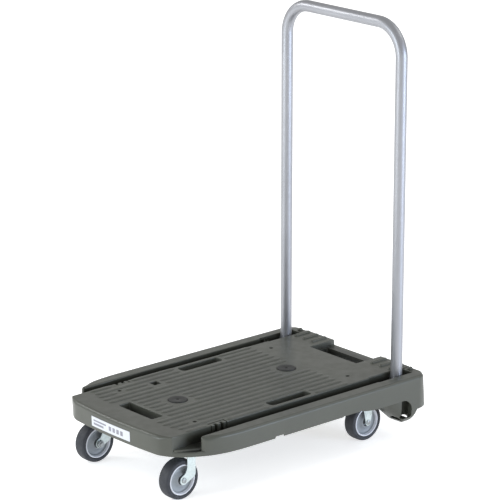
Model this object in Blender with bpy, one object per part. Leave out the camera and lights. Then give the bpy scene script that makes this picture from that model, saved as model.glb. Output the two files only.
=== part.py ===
"""Folding platform cart: a moulded deck on two swivelling and two fixed casters, with a folding handle.

Metres, +Z up. X runs across the deck, +Y from the nose towards the handle, and the origin is on the
ground under the middle of the deck.
"""

import math

import bmesh
import bpy
from mathutils import Matrix, Vector

GAP = 0.0003  # clearance between pieces that touch

# Deck
HALF_WIDTH = 0.195
DECK_REAR = 0.302
NOSE_FRONT = -0.302
NOSE_BOW = 0.006  # how far the nose falls back at its corners
NOSE_LEAN = 0.0015  # how far the nose's lower edge stands back
PLATFORM_HALF = 0.1445
CHANNEL_OUTER = 0.168
CHANNEL_FLOOR = 0.105
LEDGE = 0.0995  # lower shelf outside the channel's floor, beside the nose
WIDE_FRONT = 0.198  # the channel widens round the handle from here back
WIDE = 0.003
WELL_FRONT = 0.244
WELL_REAR = 0.2845
SKIRT_BOTTOM = 0.0915
RAIL_TOP = 0.1275
PLATFORM_TOP = 0.129
TOP_SKIN = 0.004
RIB = 0.003
NOTCH_HALF = 0.066
NOTCH_FRONT = 0.238
GRIP_FRONT = 0.281
GRIP_TOP = 0.118
HEEL_BOTTOM = 0.0625
FOOT_INNER = 0.144
RIDGE_XS = (0.085, 0.1085, 0.132, 0.1555)
CAP_RADIUS = 0.0181
CAP_YS = {"front": -0.149, "rear": 0.118}
CLIP_YS = (-0.1895, -0.1545)
CLIP_INNER = 0.134
CLIP_FLOOR = 0.112

# Handle
HANDLE_X = 0.156
HANDLE_Y = 0.257
PIVOT_Z = 0.117
HANDLE_TOP = 0.794  # centreline of the crossbar
BEND_RADIUS = 0.060
TUBE_RADIUS = 0.0111
TUBE_WALL = 0.0014
TAIL = 0.020  # tube below the pivot
PIN_RADIUS = 0.004
PIN_HALF = 0.019

# Casters
CASTER_X = 0.122
KINGPIN_Y = -0.227
FRONT_AXLE_Y = -0.249
REAR_AXLE_Y = 0.203
WHEEL_RADIUS = 0.0375
TYRE_HALF = 0.0125
CORE_RADIUS = 0.029
FORK_INNER = 0.0143
SHEET = 0.002
AXLE_RADIUS = 0.004
PLATE_TOP = 0.099
PLATE_BOTTOM = 0.0966
PLATE_HALF = (0.030, 0.032)
SCREW_SPREAD = (0.018, 0.024)
SCREW_RADIUS = 0.0022
CROWN_TOP = 0.085
CROWN_BOTTOM = 0.0826


def clear_scene():
    for obj in list(bpy.data.objects):
        bpy.data.objects.remove(obj, do_unlink=True)


def make_material(name, colour, roughness, metallic=0.0):
    material = bpy.data.materials.new(name)
    material.use_nodes = True
    shader = material.node_tree.nodes["Principled BSDF"]
    shader.inputs["Base Color"].default_value = (*colour, 1.0)
    shader.inputs["Roughness"].default_value = roughness
    shader.inputs["Metallic"].default_value = metallic
    return material


def make_object(name, bm, material=None):
    """Turns a bmesh into an object with its faces pointing out."""
    bmesh.ops.remove_doubles(bm, verts=bm.verts, dist=1e-6)
    bmesh.ops.recalc_face_normals(bm, faces=bm.faces)
    mesh = bpy.data.meshes.new(name)
    bm.to_mesh(mesh)
    bm.free()
    mesh.shade_smooth()
    mesh.set_sharp_from_angle(angle=math.radians(35))
    obj = bpy.data.objects.new(name, mesh)
    bpy.context.collection.objects.link(obj)
    if material:
        mesh.materials.append(material)
    return obj


def place(obj, parent, at):
    """Hangs an object on an empty and puts its own origin at a point, leaving its shape where it is."""
    obj.data.transform(Matrix.Translation(-Vector(at)))
    obj.location = Vector(at) - parent.location if parent else Vector(at)
    obj.parent = parent
    return obj


def make_pivot(name, at, parent=None):
    pivot = bpy.data.objects.new(name, None)
    bpy.context.collection.objects.link(pivot)
    pivot.location = Vector(at)
    if parent:
        pivot.parent = parent
        pivot.location = Vector(at) - parent.location
    return pivot


def combine(target, tool, operation, overlapping=False):
    """Joins or cuts one object with another, whose own shapes may run into each other."""
    tool.hide_render = True
    tool.display_type = "WIRE"
    boolean = target.modifiers.new(tool.name, "BOOLEAN")
    boolean.operation = operation
    boolean.object = tool
    boolean.use_self = overlapping
    return target


def loft(rings):
    """Closed body through rings of equal point count, given as lists of (x, y, z)."""
    bm = bmesh.new()
    loops = [[bm.verts.new(point) for point in ring] for ring in rings]
    count = len(loops[0])
    bm.faces.new(loops[0])
    bm.faces.new(loops[-1])
    for lower, upper in zip(loops, loops[1:]):
        for i in range(count):
            j = (i + 1) % count
            bm.faces.new((lower[i], lower[j], upper[j], upper[i]))
    return bm


def add_box(bm, low, high):
    size = Vector(high) - Vector(low)
    middle = (Vector(high) + Vector(low)) / 2
    made = bmesh.ops.create_cube(bm, size=1.0)
    bmesh.ops.scale(bm, vec=size, verts=made["verts"])
    bmesh.ops.translate(bm, vec=middle, verts=made["verts"])


def boxes(corners):
    bm = bmesh.new()
    for low, high in corners:
        add_box(bm, low, high)
    return bm


def upright(outline, low, high):
    """A plan outline of (x, y) points made a body between two heights."""
    return loft([[(x, y, z) for x, y in outline] for z in (low, high)])


def sideways(outline, low, high):
    """A side outline of (y, z) points made a body between two places across."""
    return loft([[(x, y, z) for y, z in outline] for x in (low, high)])


def add_cylinder(bm, centre, radius, low, high, axis="Z", segments=16):
    """A cylinder round an axis through centre, from low to high along that axis."""
    turns = {"X": Matrix.Rotation(math.pi / 2, 4, "Y"), "Z": Matrix.Identity(4)}
    middle = Vector(centre)
    middle["XYZ".index(axis)] = (low + high) / 2
    bmesh.ops.create_cone(
        bm, cap_ends=True, segments=segments, radius1=radius, radius2=radius,
        depth=high - low, matrix=Matrix.Translation(middle) @ turns[axis],
    )


def turned(profile, centre, axis="X", segments=28):
    """A closed profile of (along, radius) points turned about an axis through centre."""
    bm = bmesh.new()
    along_index = "XYZ".index(axis)
    loops = []
    for along, radius in profile:
        loop = []
        for i in range(segments if radius > 0 else 1):
            angle = 2 * math.pi * i / segments
            offset = [radius * math.cos(angle), radius * math.sin(angle)]
            offset.insert(along_index, along)
            loop.append(bm.verts.new(Vector(centre) + Vector(offset)))
        loops.append(loop)
    for first, second in zip(loops, loops[1:] + loops[:1]):
        for i in range(segments):
            corners = [first[i % len(first)], first[(i + 1) % len(first)],
                       second[(i + 1) % len(second)], second[i % len(second)]]
            corners = list(dict.fromkeys(corners))
            if len(corners) > 2:
                bm.faces.new(corners)
    return bm


def arc(centre, radius, start, end, steps):
    """Points along a round stretch, angles in degrees."""
    angles = [math.radians(start + (end - start) * i / steps) for i in range(steps + 1)]
    return [(centre[0] + radius * math.cos(a), centre[1] + radius * math.sin(a)) for a in angles]


def rounded_rectangle(low, high, radius, steps=3):
    points = []
    for x, y, start in ((high[0], high[1], 0), (low[0], high[1], 90),
                        (low[0], low[1], 180), (high[0], low[1], 270)):
        centre = (x - math.copysign(radius, x - (low[0] + high[0]) / 2),
                  y - math.copysign(radius, y - (low[1] + high[1]) / 2))
        points += arc(centre, radius, start, start + 90, steps)
    return points


def mirrored(half):
    """A half outline from the front middle to the rear middle, with its other side added."""
    return half + [(-x, y) for x, y in reversed(half) if x > 0]


def sided(points, side):
    return [(side * x, y) for x, y in points]


def inset(outline, amount):
    """The outline moved inwards by an amount, for a softened top edge."""
    area = sum(a[0] * b[1] - b[0] * a[1] for a, b in zip(outline, outline[1:] + outline[:1]))
    turn = math.copysign(1, area)
    moved = []
    for before, here, after in zip(outline[-1:] + outline[:-1], outline, outline[1:] + outline[:1]):
        first = (Vector(here) - Vector(before)).normalized()
        second = (Vector(after) - Vector(here)).normalized()
        normal = (Vector((-first.y, first.x)) + Vector((-second.y, second.x))).normalized() * turn
        scale = max(0.5, normal.dot(Vector((-first.y, first.x))) * turn)
        moved.append(tuple(Vector(here) + normal * amount / scale))
    return moved


def nose_y(x):
    return NOSE_FRONT + NOSE_BOW * (x / 0.118) ** 2


def platform_outline():
    front = [(x, nose_y(x)) for x in (0.0, 0.04, 0.08, 0.116)]
    corner = [(0.131, -0.2905), (0.1425, -0.2835), (PLATFORM_HALF, -0.280)]
    return mirrored(front + corner + [(PLATFORM_HALF, DECK_REAR), (0.0, DECK_REAR)])


def tray_outline():
    """The lower lip: it sweeps from the nose out to the rails, and turns round the rear corners."""
    front = [(0.0, -0.3005), (0.04, -0.2998), (0.08, -0.2977), (0.116, -0.2947), (0.131, -0.289)]
    sweep = [(0.1445, -0.2805), (0.158, -0.267), (0.170, -0.250), (0.183, -0.226), (0.191, -0.198)]
    sweep += [(0.1945, -0.160), (HALF_WIDTH, -0.122)]
    corner = arc((HALF_WIDTH - 0.022, DECK_REAR - 0.022), 0.022, 0, 90, 4)
    return mirrored(front + sweep + corner + [(0.0, DECK_REAR)])


def floor_outline(side):
    """A channel's floor in plan, cut off slantwise where it runs out beside the nose."""
    inner = PLATFORM_HALF - 0.004
    outer = CHANNEL_OUTER + 0.0015
    return sided([(inner, -0.276), (0.147, -0.276), (outer, -0.236), (outer, 0.290), (inner, 0.290)], side)


def rail_outline(side):
    """A side rail in plan, with the bridge that closes the channel behind the handle."""
    inner = [(PLATFORM_HALF - 0.006, DECK_REAR), (PLATFORM_HALF - 0.006, 0.285), (CHANNEL_OUTER, 0.285)]
    nose = [(CHANNEL_OUTER, -0.228), (0.172, -0.237), (0.179, -0.233)]
    sweep = [(0.1845, -0.222), (0.191, -0.198), (0.1945, -0.160), (HALF_WIDTH, -0.122)]
    corner = arc((HALF_WIDTH - 0.022, DECK_REAR - 0.022), 0.022, 0, 90, 4)
    return sided(inner + nose + sweep + corner, side)


def soft_topped(outline, low, top, softness):
    """A body from a plan outline whose top edge is rounded over."""
    steps = ((low, 0.0), (top - softness, 0.0), (top - softness * 0.3, softness * 0.3), (top, softness))
    return loft([[(x, y, z) for x, y in inset(outline, amount)] for z, amount in steps])


def platform_body():
    outline = platform_outline()
    bm = soft_topped(outline, SKIRT_BOTTOM, PLATFORM_TOP, 0.003)
    for vert in bm.verts:
        if vert.co.y < -0.2 and vert.co.z < SKIRT_BOTTOM + 0.001:
            vert.co.y += NOSE_LEAN
    return bm


def skirt_side():
    """Side wall at the rear: its lower edge rises over an arch and drops to the heel."""
    arch = arc((0.2385, 0.063), 0.0238, 90, 0, 5)
    return [(0.120, 0.099), (0.137, 0.0915), (0.172, 0.0868), *arch, (0.272, HEEL_BOTTOM),
            (0.280, HEEL_BOTTOM), (0.280, 0.110), (0.120, 0.110)]


def foot_body(side):
    """Rounded foot under a rear corner. It narrows to its bottom, and its outer front corner is broad."""
    heights = (0.034, 0.0374, 0.044, 0.0525, 0.0625, 0.0714, 0.0822, 0.0988)
    fronts = (0.2555, 0.2504, 0.2430, 0.2334, 0.2221, 0.212, 0.2011, 0.1843)
    rears = (0.262, 0.2668, 0.2732, 0.279, 0.2875, 0.291, 0.291, 0.291)
    sides = (0.170, 0.176, 0.1825, 0.1865, 0.187, 0.187, 0.187, 0.187)
    rings = []
    for z, front, rear, outer in zip(heights, fronts, rears, sides):
        middle = max(0.250, front + 0.003)
        bend = arc((0.0, 0.0), 1.0, -90, 0, 5)
        points = [(FOOT_INNER + (outer - FOOT_INNER) * u, middle + (middle - front) * v) for u, v in bend]
        points += [(outer, rear), (FOOT_INNER, rear)]
        rings.append([(side * x, y, z) for x, y in points])
    return loft(rings)


def heel_outline(side):
    """Walls of the heel in plan, wrapped round the rear corner."""
    outer = arc((HALF_WIDTH - 0.022, DECK_REAR - 0.022), 0.022, 0, 90, 4)
    inner = arc((HALF_WIDTH - 0.022, DECK_REAR - 0.022), 0.017, 90, 0, 4)
    outline = [(HALF_WIDTH, 0.272), *outer, (0.100, DECK_REAR), (0.100, 0.297), *inner, (0.190, 0.272)]
    return sided(outline, side)


def clears(cell, zones):
    return all(cell[2] <= z[0] or cell[0] >= z[2] or cell[3] <= z[1] or cell[1] >= z[3] for z in zones)


def underside_cells():
    """The open cells between the underside's ribs, as (low x, low y, high x, high y)."""
    solid = [(-0.056, -0.258, 0.056, -0.214), (-0.110, -0.134, -0.086, -0.110)]
    for side in (-1, 1):
        low, high = sorted((side * 0.110, side * PLATFORM_HALF))
        solid.append((low, -0.044, high, 0.066))
        low, high = sorted((side * 0.084, side * 0.160))
        solid += [(low, y - 0.038, high, y + 0.038) for y in (KINGPIN_Y, REAR_AXLE_Y)]
    solid += [(-0.021, y - 0.021, 0.021, y + 0.021) for y in CAP_YS.values()]
    solid.append((-0.0665, 0.236, 0.0665, 0.302))
    cells = []
    columns = 8
    rows = 15
    pitch_x = 2 * (PLATFORM_HALF - RIB) / columns
    pitch_y = (0.290 + 0.274) / rows
    for i in range(columns):
        for j in range(rows):
            low = (-PLATFORM_HALF + RIB + i * pitch_x + RIB / 2, -0.274 + j * pitch_y + RIB / 2)
            cell = (*low, low[0] + pitch_x - RIB, low[1] + pitch_y - RIB)
            if clears(cell, solid):
                cells.append(cell)
    return cells


def cell_cutter():
    corners = [((c[0], c[1], 0.085), (c[2], c[3], PLATFORM_TOP - TOP_SKIN)) for c in underside_cells()]
    for side in (-1, 1):
        for k in range(6):
            low_y = -0.150 + k * 0.064
            inner, outer = sorted((side * (CHANNEL_OUTER + RIB), side * (HALF_WIDTH - RIB)))
            corners.append(((inner, low_y, 0.085), (outer, low_y + 0.064 - RIB, RAIL_TOP - TOP_SKIN)))
    return boxes(corners)


def opening_cutter():
    """Everything that goes right through the deck, and the wells where the handle turns."""
    corners = [((-0.062, 0.240, 0.05), (0.062, GRIP_FRONT, 0.15)),
               ((-NOTCH_HALF, NOTCH_FRONT, GRIP_TOP), (NOTCH_HALF, 0.32, 0.15)),
               ((-0.1065, -0.1305, 0.05), (-0.0895, -0.1135, 0.15))]
    bm = boxes(corners)
    parts = [rounded_rectangle((-0.0485, -0.249), (0.0485, -0.222), 0.004, 2)]
    parts += [sided(rounded_rectangle((0.115, -0.039), (0.137, 0.060), 0.007), side) for side in (-1, 1)]
    for outline in parts:
        append(bm, upright(outline, 0.05, 0.15))
    for x in (-0.1084, 0.1084):
        for y in (-0.199, 0.1757):
            add_cylinder(bm, (x, y, 0), 0.004, 0.088, 0.15, segments=12)
    return bm


def append(bm, other):
    """Adds one bmesh's geometry to another."""
    mesh = bpy.data.meshes.new("joined")
    bmesh.ops.recalc_face_normals(other, faces=other.faces)
    other.to_mesh(mesh)
    other.free()
    bm.from_mesh(mesh)
    bpy.data.meshes.remove(mesh)


def channel_cutter(side):
    """The wide rear end of a channel, and in it the handle's well, open below for its tail."""
    low, high = sorted((side * (PLATFORM_HALF - WIDE), side * (CHANNEL_OUTER + WIDE)))
    return boxes([((low, WIDE_FRONT, CHANNEL_FLOOR), (high, WELL_REAR, 0.15)),
                  ((low + 0.0001, WELL_FRONT, 0.088), (high - 0.0001, WELL_REAR - 0.0001, 0.12))])


def edge_cutter():
    """Steps in the lower edge of both side walls."""
    corners = []
    for side in (-1, 1):
        low, high = sorted((side * 0.186, side * 0.200))
        corners.append(((low, -0.083, 0.088), (high, -0.059, 0.0955)))
        corners.append(((low, 0.084, 0.088), (high, 0.140, 0.0932)))
    return boxes(corners)


def foot_cutter(side):
    """Hollow of a foot: a round well, open on the outside under the arch."""
    bm = bmesh.new()
    add_cylinder(bm, (side * 0.166, 0.256, 0), 0.0165, 0.041, 0.096, segments=20)
    low, high = sorted((side * 0.166, side * 0.190))
    add_box(bm, (low, 0.243, 0.045), (high, 0.268, 0.0865))
    return bm


def fixing_cutter(side):
    """Pin bores, screw holes, caster plate recesses and the clip's seat on one side."""
    bm = bmesh.new()
    middle = side * HANDLE_X
    add_cylinder(bm, (0, HANDLE_Y, PIVOT_Z), PIN_RADIUS + 0.0004, middle - PIN_HALF - GAP,
                 middle + PIN_HALF + GAP, "X")
    for y in (KINGPIN_Y, REAR_AXLE_Y):
        centre = side * CASTER_X
        add_box(bm, (centre - 0.0375, y - 0.0355, 0.085), (centre + 0.0375, y + 0.0355, PLATE_TOP + GAP))
        for dx in (-SCREW_SPREAD[0], SCREW_SPREAD[0]):
            for dy in (-SCREW_SPREAD[1], SCREW_SPREAD[1]):
                add_cylinder(bm, (centre + dx, y + dy, 0), SCREW_RADIUS + 0.0004, 0.09, 0.111, segments=8)
    low, high = sorted((side * CLIP_INNER, side * (PLATFORM_HALF + 0.004)))
    add_box(bm, (low, CLIP_YS[0], CLIP_FLOOR), (high, CLIP_YS[1], 0.15))
    return bm


def make_deck(material):
    deck = make_object("deck_body", platform_body(), material)
    tray = upright(tray_outline(), SKIRT_BOTTOM, LEDGE)
    combine(deck, make_object("tool_tray", tray), "UNION")
    ridges = []
    for side in (-1, 1):
        name = "left" if side < 0 else "right"
        rail = soft_topped(rail_outline(side), SKIRT_BOTTOM + 0.002, RAIL_TOP, 0.004)
        combine(deck, make_object(f"tool_rail_{name}", rail), "UNION")
        channel = upright(floor_outline(side), LEDGE - 0.001, CHANNEL_FLOOR)
        combine(deck, make_object(f"tool_floor_{name}", channel), "UNION")
        skirt = sideways(skirt_side(), *sorted((side * 0.186, side * (HALF_WIDTH - 0.0001))))
        combine(deck, make_object(f"tool_skirt_{name}", skirt), "UNION")
        combine(deck, make_object(f"tool_foot_{name}", foot_body(side)), "UNION")
        heel = upright(heel_outline(side), HEEL_BOTTOM, 0.1)
        combine(deck, make_object(f"tool_heel_{name}", heel), "UNION")
        for x in RIDGE_XS:
            front = 0.288 if x > PLATFORM_HALF else 0.262
            middle = side * x
            ridges.append(((middle - 0.0045, front, 0.120), (middle + 0.0045, DECK_REAR - 0.001, 0.1325)))
    grip = boxes([((-0.080, GRIP_FRONT, SKIRT_BOTTOM + 0.001), (0.080, DECK_REAR - 0.0005, GRIP_TOP))])
    combine(deck, make_object("tool_grip", grip), "UNION")
    combine(deck, make_object("tool_ridges", boxes(ridges)), "UNION")
    combine(deck, make_object("tool_edges", edge_cutter()), "DIFFERENCE")
    combine(deck, make_object("tool_cells", cell_cutter()), "DIFFERENCE")
    combine(deck, make_object("tool_openings", opening_cutter()), "DIFFERENCE", True)
    caps = bmesh.new()
    for y in CAP_YS.values():
        add_cylinder(caps, (0, y, 0), CAP_RADIUS + 0.0006, 0.1245, 0.15, segments=28)
    combine(deck, make_object("tool_cap_seats", caps), "DIFFERENCE")
    for side in (-1, 1):
        name = "left" if side < 0 else "right"
        combine(deck, make_object(f"tool_well_{name}", channel_cutter(side)), "DIFFERENCE", True)
        combine(deck, make_object(f"tool_hollow_{name}", foot_cutter(side)), "DIFFERENCE", True)
        combine(deck, make_object(f"tool_fixings_{name}", fixing_cutter(side)), "DIFFERENCE", True)
    return deck


def make_caps(material):
    """Round caps pressed into the platform, each with a dimple in its middle."""
    for place_name, y in CAP_YS.items():
        profile = [(0.1249, 0.0), (0.1249, CAP_RADIUS), (0.1296, CAP_RADIUS), (0.1305, CAP_RADIUS - 0.001),
                   (0.1305, 0.003), (0.1292, 0.002), (0.1292, 0.0)]
        cap = make_object(f"deck_cap_{place_name}", turned(profile, (0, y, 0), "Z", 24), material)
        place(cap, None, (0, y, PLATFORM_TOP))


def make_label(material):
    """A thin blank plate that follows the bow and the lean of the nose."""
    low, high = 0.0985, 0.1175
    start, end, steps = -0.062, 0.0495, 6

    def face_y(x, z):
        lean = NOSE_LEAN * (PLATFORM_TOP - 0.003 - z) / (PLATFORM_TOP - 0.003 - SKIRT_BOTTOM)
        return nose_y(x) + lean

    xs = [start + (end - start) * i / steps for i in range(steps + 1)]
    rings = []
    for x in xs:
        rings.append([(x, face_y(x, low) - 0.0012, low), (x, face_y(x, high) - 0.0012, high),
                      (x, face_y(x, high) - 0.0005, high), (x, face_y(x, low) - 0.0005, low)])
    label = make_object("label_plate", loft(rings), material)
    place(label, None, (0, NOSE_FRONT, 0.108))


def make_clip(side, name, material):
    """Comb of snap fingers in the channel's edge, which holds the folded tube."""
    root = CLIP_INNER + 0.0045
    tip = PLATFORM_HALF
    low = CLIP_YS[0] + GAP
    fingers = 3
    finger = 0.0072
    step = (CLIP_YS[1] - GAP - low - finger) / (fingers - 1)
    comb = [(CLIP_INNER + GAP, CLIP_YS[1] - GAP), (CLIP_INNER + GAP, low)]
    for k in range(fingers):
        comb += [(tip, low + k * step), (tip, low + k * step + finger)]
        if k < fingers - 1:
            comb += [(root, low + k * step + finger), (root, low + (k + 1) * step)]
    body = upright(sided(comb, side), CLIP_FLOOR + GAP, 0.1286)
    clip = make_object(f"handle_clip_{name}", body, material)
    place(clip, None, (side * tip, sum(CLIP_YS) / 2, 0.12))


def tube_path():
    """The handle's centreline, up one side, across and down the other."""
    low = PIVOT_Z - TAIL
    bend_z = HANDLE_TOP - BEND_RADIUS
    bend_x = HANDLE_X - BEND_RADIUS
    half = [(HANDLE_X, low), (HANDLE_X, bend_z)]
    half += arc((bend_x, bend_z), BEND_RADIUS, 0, 90, 7)[1:]
    return half + [(-x, z) for x, z in reversed(half)]


def make_tube(material):
    """A bent tube, open at both ends, with holes for the pivot pins."""
    path = [Vector((x, z)) for x, z in tube_path()]
    segments = 20
    outer, inner = [], []
    for i, here in enumerate(path):
        ahead = path[min(i + 1, len(path) - 1)] - here
        behind = here - path[max(i - 1, 0)]
        along = (ahead.normalized() + behind.normalized()).normalized()
        across = Vector((-along.y, along.x))
        for radius, rings in ((TUBE_RADIUS, outer), (TUBE_RADIUS - TUBE_WALL, inner)):
            ring = []
            for k in range(segments):
                angle = 2 * math.pi * k / segments
                shift = across * radius * math.cos(angle)
                ring.append((here.x + shift.x, HANDLE_Y + radius * math.sin(angle), here.y + shift.y))
            rings.append(ring)
    bm = bmesh.new()
    loops = [[bm.verts.new(point) for point in ring] for ring in outer + inner[::-1]]
    for first, second in zip(loops, loops[1:] + loops[:1]):
        for k in range(segments):
            j = (k + 1) % segments
            bm.faces.new((first[k], first[j], second[j], second[k]))
    tube = make_object("handle_tube", bm, material)
    holes = bmesh.new()
    add_cylinder(holes, (0, HANDLE_Y, PIVOT_Z), PIN_RADIUS + 0.0004, -0.2, 0.2, "X", 16)
    combine(tube, make_object("tool_pin_holes", holes), "DIFFERENCE")
    return tube


def make_handle(tube_material, pin_material, plug_material):
    pivot = make_pivot("handle_pivot", (0, HANDLE_Y, PIVOT_Z))
    at = (0, HANDLE_Y, PIVOT_Z)
    tube = make_tube(tube_material)
    tube.parent = pivot
    tube.data.transform(Matrix.Translation(-Vector(at)))
    tube.modifiers[0].object.location = (0, 0, 0)
    for side in (-1, 1):
        name = "left" if side < 0 else "right"
        middle = side * HANDLE_X
        start, end = middle - PIN_HALF, middle + PIN_HALF
        pin = [(start, 0.0), (start, PIN_RADIUS - 0.0005), (start + 0.0005, PIN_RADIUS),
               (end - 0.0005, PIN_RADIUS), (end, PIN_RADIUS - 0.0005), (end, 0.0)]
        made = make_object(f"handle_pin_{name}", turned(pin, at, "X", 16), pin_material)
        place(made, None, (middle, *at[1:]))
        low = PIVOT_Z - TAIL
        bore = TUBE_RADIUS - TUBE_WALL - GAP
        head = TUBE_RADIUS - 0.0003
        plug = [(low - 0.0025, 0.0), (low - 0.0025, head - 0.0007), (low - 0.0015, head), (low - GAP, head),
                (low - GAP, bore), (low + 0.012, bore), (low + 0.012, 0.0)]
        body = turned(plug, (middle, HANDLE_Y, 0), "Z", 20)
        made = make_object(f"handle_plug_{name}", body, plug_material)
        place(made, pivot, (middle, HANDLE_Y, low))


def make_wheel(name, centre, parent, materials):
    """Tyre, core, axle sleeve, axle bolt and nut of one wheel. The bolt and nut stay with the fork."""
    spin = make_pivot(f"spin_{name}", centre, parent)
    origin = Vector(centre) - (parent.location if parent else Vector())
    spin.location = origin
    side = math.copysign(1, centre[0])
    tyre = [(-TYRE_HALF, 0.0293), (-TYRE_HALF, 0.0345), (-0.009, WHEEL_RADIUS),
            (0.009, WHEEL_RADIUS), (TYRE_HALF, 0.0345), (TYRE_HALF, 0.0293)]
    core = [(-0.012, 0.0255), (-0.012, CORE_RADIUS), (0.012, CORE_RADIUS), (0.012, 0.0255), (0.005, 0.024),
            (0.004, 0.013), (0.0135, 0.011), (0.0135, 0.0054), (-0.0135, 0.0054), (-0.0135, 0.011),
            (-0.004, 0.013), (-0.005, 0.024)]
    sleeve = [(-0.0140, 0.0043), (-0.0140, 0.0051), (0.0140, 0.0051), (0.0140, 0.0043)]
    parts = (("tyre", tyre, materials["tyre"], 32), ("wheel_core", core, materials["core"], 24),
             ("axle_sleeve", sleeve, materials["steel"], 12))
    for label, profile, material, segments in parts:
        made = make_object(f"{label}_{name}", turned(profile, centre, "X", segments), material)
        made.data.transform(Matrix.Translation(-Vector(centre)))
        made.parent = spin
    outer = FORK_INNER + SHEET + GAP
    bolt = [(-0.0235, 0.0), (-0.0235, 0.0034), (-0.0229, AXLE_RADIUS), (outer, AXLE_RADIUS),
            (outer, 0.0052), (outer + 0.0012, 0.0052), (outer + 0.0018, 0.0042), (outer + 0.0018, 0.0)]
    bolt = [(side * along, radius) for along, radius in bolt]
    made = make_object(f"axle_bolt_{name}", turned(bolt, centre, "X", 12), materials["steel"])
    place(made, parent, centre)
    nut = bmesh.new()
    low, high = sorted((centre[0] - side * outer, centre[0] - side * (outer + 0.005)))
    add_cylinder(nut, centre, 0.0073, low, high, "X", 6)
    nut = make_object(f"axle_nut_{name}", nut, materials["steel"])
    hole = bmesh.new()
    add_cylinder(hole, centre, AXLE_RADIUS + 0.0004, low - 0.001, high + 0.001, "X", 16)
    combine(nut, make_object(f"tool_nut_{name}", hole), "DIFFERENCE")
    return nut


def make_fork(name, side_outline, crown_outline, crown_low, crown_high, holes, material):
    """A fork pressed from sheet: a crown with two legs, drilled for its axle and its fixings."""
    x = holes["centre_x"]
    fork = make_object(f"fork_{name}", upright(crown_outline, crown_low, crown_high), material)
    for number, direction in (("a", -1), ("b", 1)):
        low, high = sorted((x + direction * FORK_INNER, x + direction * (FORK_INNER + SHEET)))
        combine(fork, make_object(f"tool_leg_{name}_{number}", sideways(side_outline, low, high)), "UNION")
    bm = bmesh.new()
    add_cylinder(bm, (x, holes["axle_y"], WHEEL_RADIUS), AXLE_RADIUS + 0.0004, x - 0.03, x + 0.03, "X", 16)
    for hole_x, hole_y, radius in holes["crown"]:
        add_cylinder(bm, (hole_x, hole_y, 0), radius, crown_low - 0.005, crown_high + 0.005, segments=16)
    combine(fork, make_object(f"tool_drill_{name}", bm), "DIFFERENCE")
    return fork


def leg_outline(axle_y, front, rear, top, knee, end):
    """A leg from the side: wide at the crown, turning at the knee, and round at the axle's eye."""
    eye = arc((axle_y, WHEEL_RADIUS), 0.0085, 160, end, 6)
    return [(rear, top), (front, top), (front, 0.058), *eye, (rear, knee)]


def screw_places(side, y):
    return [(side * CASTER_X + dx, y + dy) for dx in (-SCREW_SPREAD[0], SCREW_SPREAD[0])
            for dy in (-SCREW_SPREAD[1], SCREW_SPREAD[1])]


def make_screws(name, places, material):
    for number, (x, y) in enumerate(places, start=1):
        head = PLATE_BOTTOM - GAP
        profile = [(head - 0.0026, 0.0), (head - 0.0024, 0.0030), (head, 0.0042), (head, SCREW_RADIUS),
                   (0.109, SCREW_RADIUS), (0.1105, 0.0)]
        made = make_object(f"screw_{name}_{number}", turned(profile, (x, y, 0), "Z", 8), material)
        place(made, None, (x, y, head))


def plate_outline(side, y):
    low = (side * CASTER_X - PLATE_HALF[0], y - PLATE_HALF[1])
    high = (side * CASTER_X + PLATE_HALF[0], y + PLATE_HALF[1])
    return rounded_rectangle(low, high, 0.006)


def make_front_caster(side, name, materials):
    x = side * CASTER_X
    at = (x, KINGPIN_Y, CROWN_TOP)
    places = screw_places(side, KINGPIN_Y)
    body = upright(plate_outline(side, KINGPIN_Y), PLATE_BOTTOM, PLATE_TOP)
    plate = make_object(f"caster_plate_{name}", body, materials["zinc"])
    drill = bmesh.new()
    for hole_x, hole_y, radius in [(*p, 0.0026) for p in places] + [(x, KINGPIN_Y, 0.0054)]:
        add_cylinder(drill, (hole_x, hole_y, 0), radius, 0.09, 0.105, segments=16)
    combine(plate, make_object(f"tool_plate_{name}", drill), "DIFFERENCE")
    race = [(CROWN_TOP + GAP, 0.0054), (CROWN_TOP + GAP, 0.0185), (0.0885, 0.0205), (0.093, 0.0205),
            (PLATE_BOTTOM - GAP, 0.0175), (PLATE_BOTTOM - GAP, 0.0054)]
    body = turned(race, (x, KINGPIN_Y, 0), "Z", 20)
    place(make_object(f"swivel_race_{name}", body, materials["zinc"]), None, at)
    under = CROWN_BOTTOM - GAP
    pin = [(0.0788, 0.0), (0.0788, 0.006), (0.0800, 0.0085), (under, 0.0085), (under, 0.005),
           (0.0986, 0.005), (0.0986, 0.0)]
    body = turned(pin, (x, KINGPIN_Y, 0), "Z", 18)
    place(make_object(f"kingpin_{name}", body, materials["steel"]), None, at)
    swivel = make_pivot(f"swivel_{name}", at)
    crown = arc((x, KINGPIN_Y), 0.021, 40, 140, 5)
    crown += [(x - FORK_INNER - SHEET, KINGPIN_Y - 0.014), (x + FORK_INNER + SHEET, KINGPIN_Y - 0.014)]
    holes = {"centre_x": x, "axle_y": FRONT_AXLE_Y, "crown": [(x, KINGPIN_Y, 0.0054)]}
    legs = leg_outline(FRONT_AXLE_Y, -0.241, -0.222, CROWN_TOP - 0.0004, 0.0415, 285)
    fork = make_fork(name, legs, crown, CROWN_BOTTOM, CROWN_TOP, holes, materials["zinc"])
    hang(fork, swivel, at)
    centre = (x, FRONT_AXLE_Y, WHEEL_RADIUS)
    hang(make_wheel(name, centre, swivel, materials), swivel, centre)
    make_screws(name, places, materials["steel"])


def hang(obj, parent, at):
    """Parents an object that keeps its cutters, moving all their origins to one point."""
    for tool in [obj] + [m.object for m in obj.modifiers]:
        tool.data.transform(Matrix.Translation(-Vector(at)))
        tool.parent = parent
        tool.location = Vector(at) - parent.location


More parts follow.
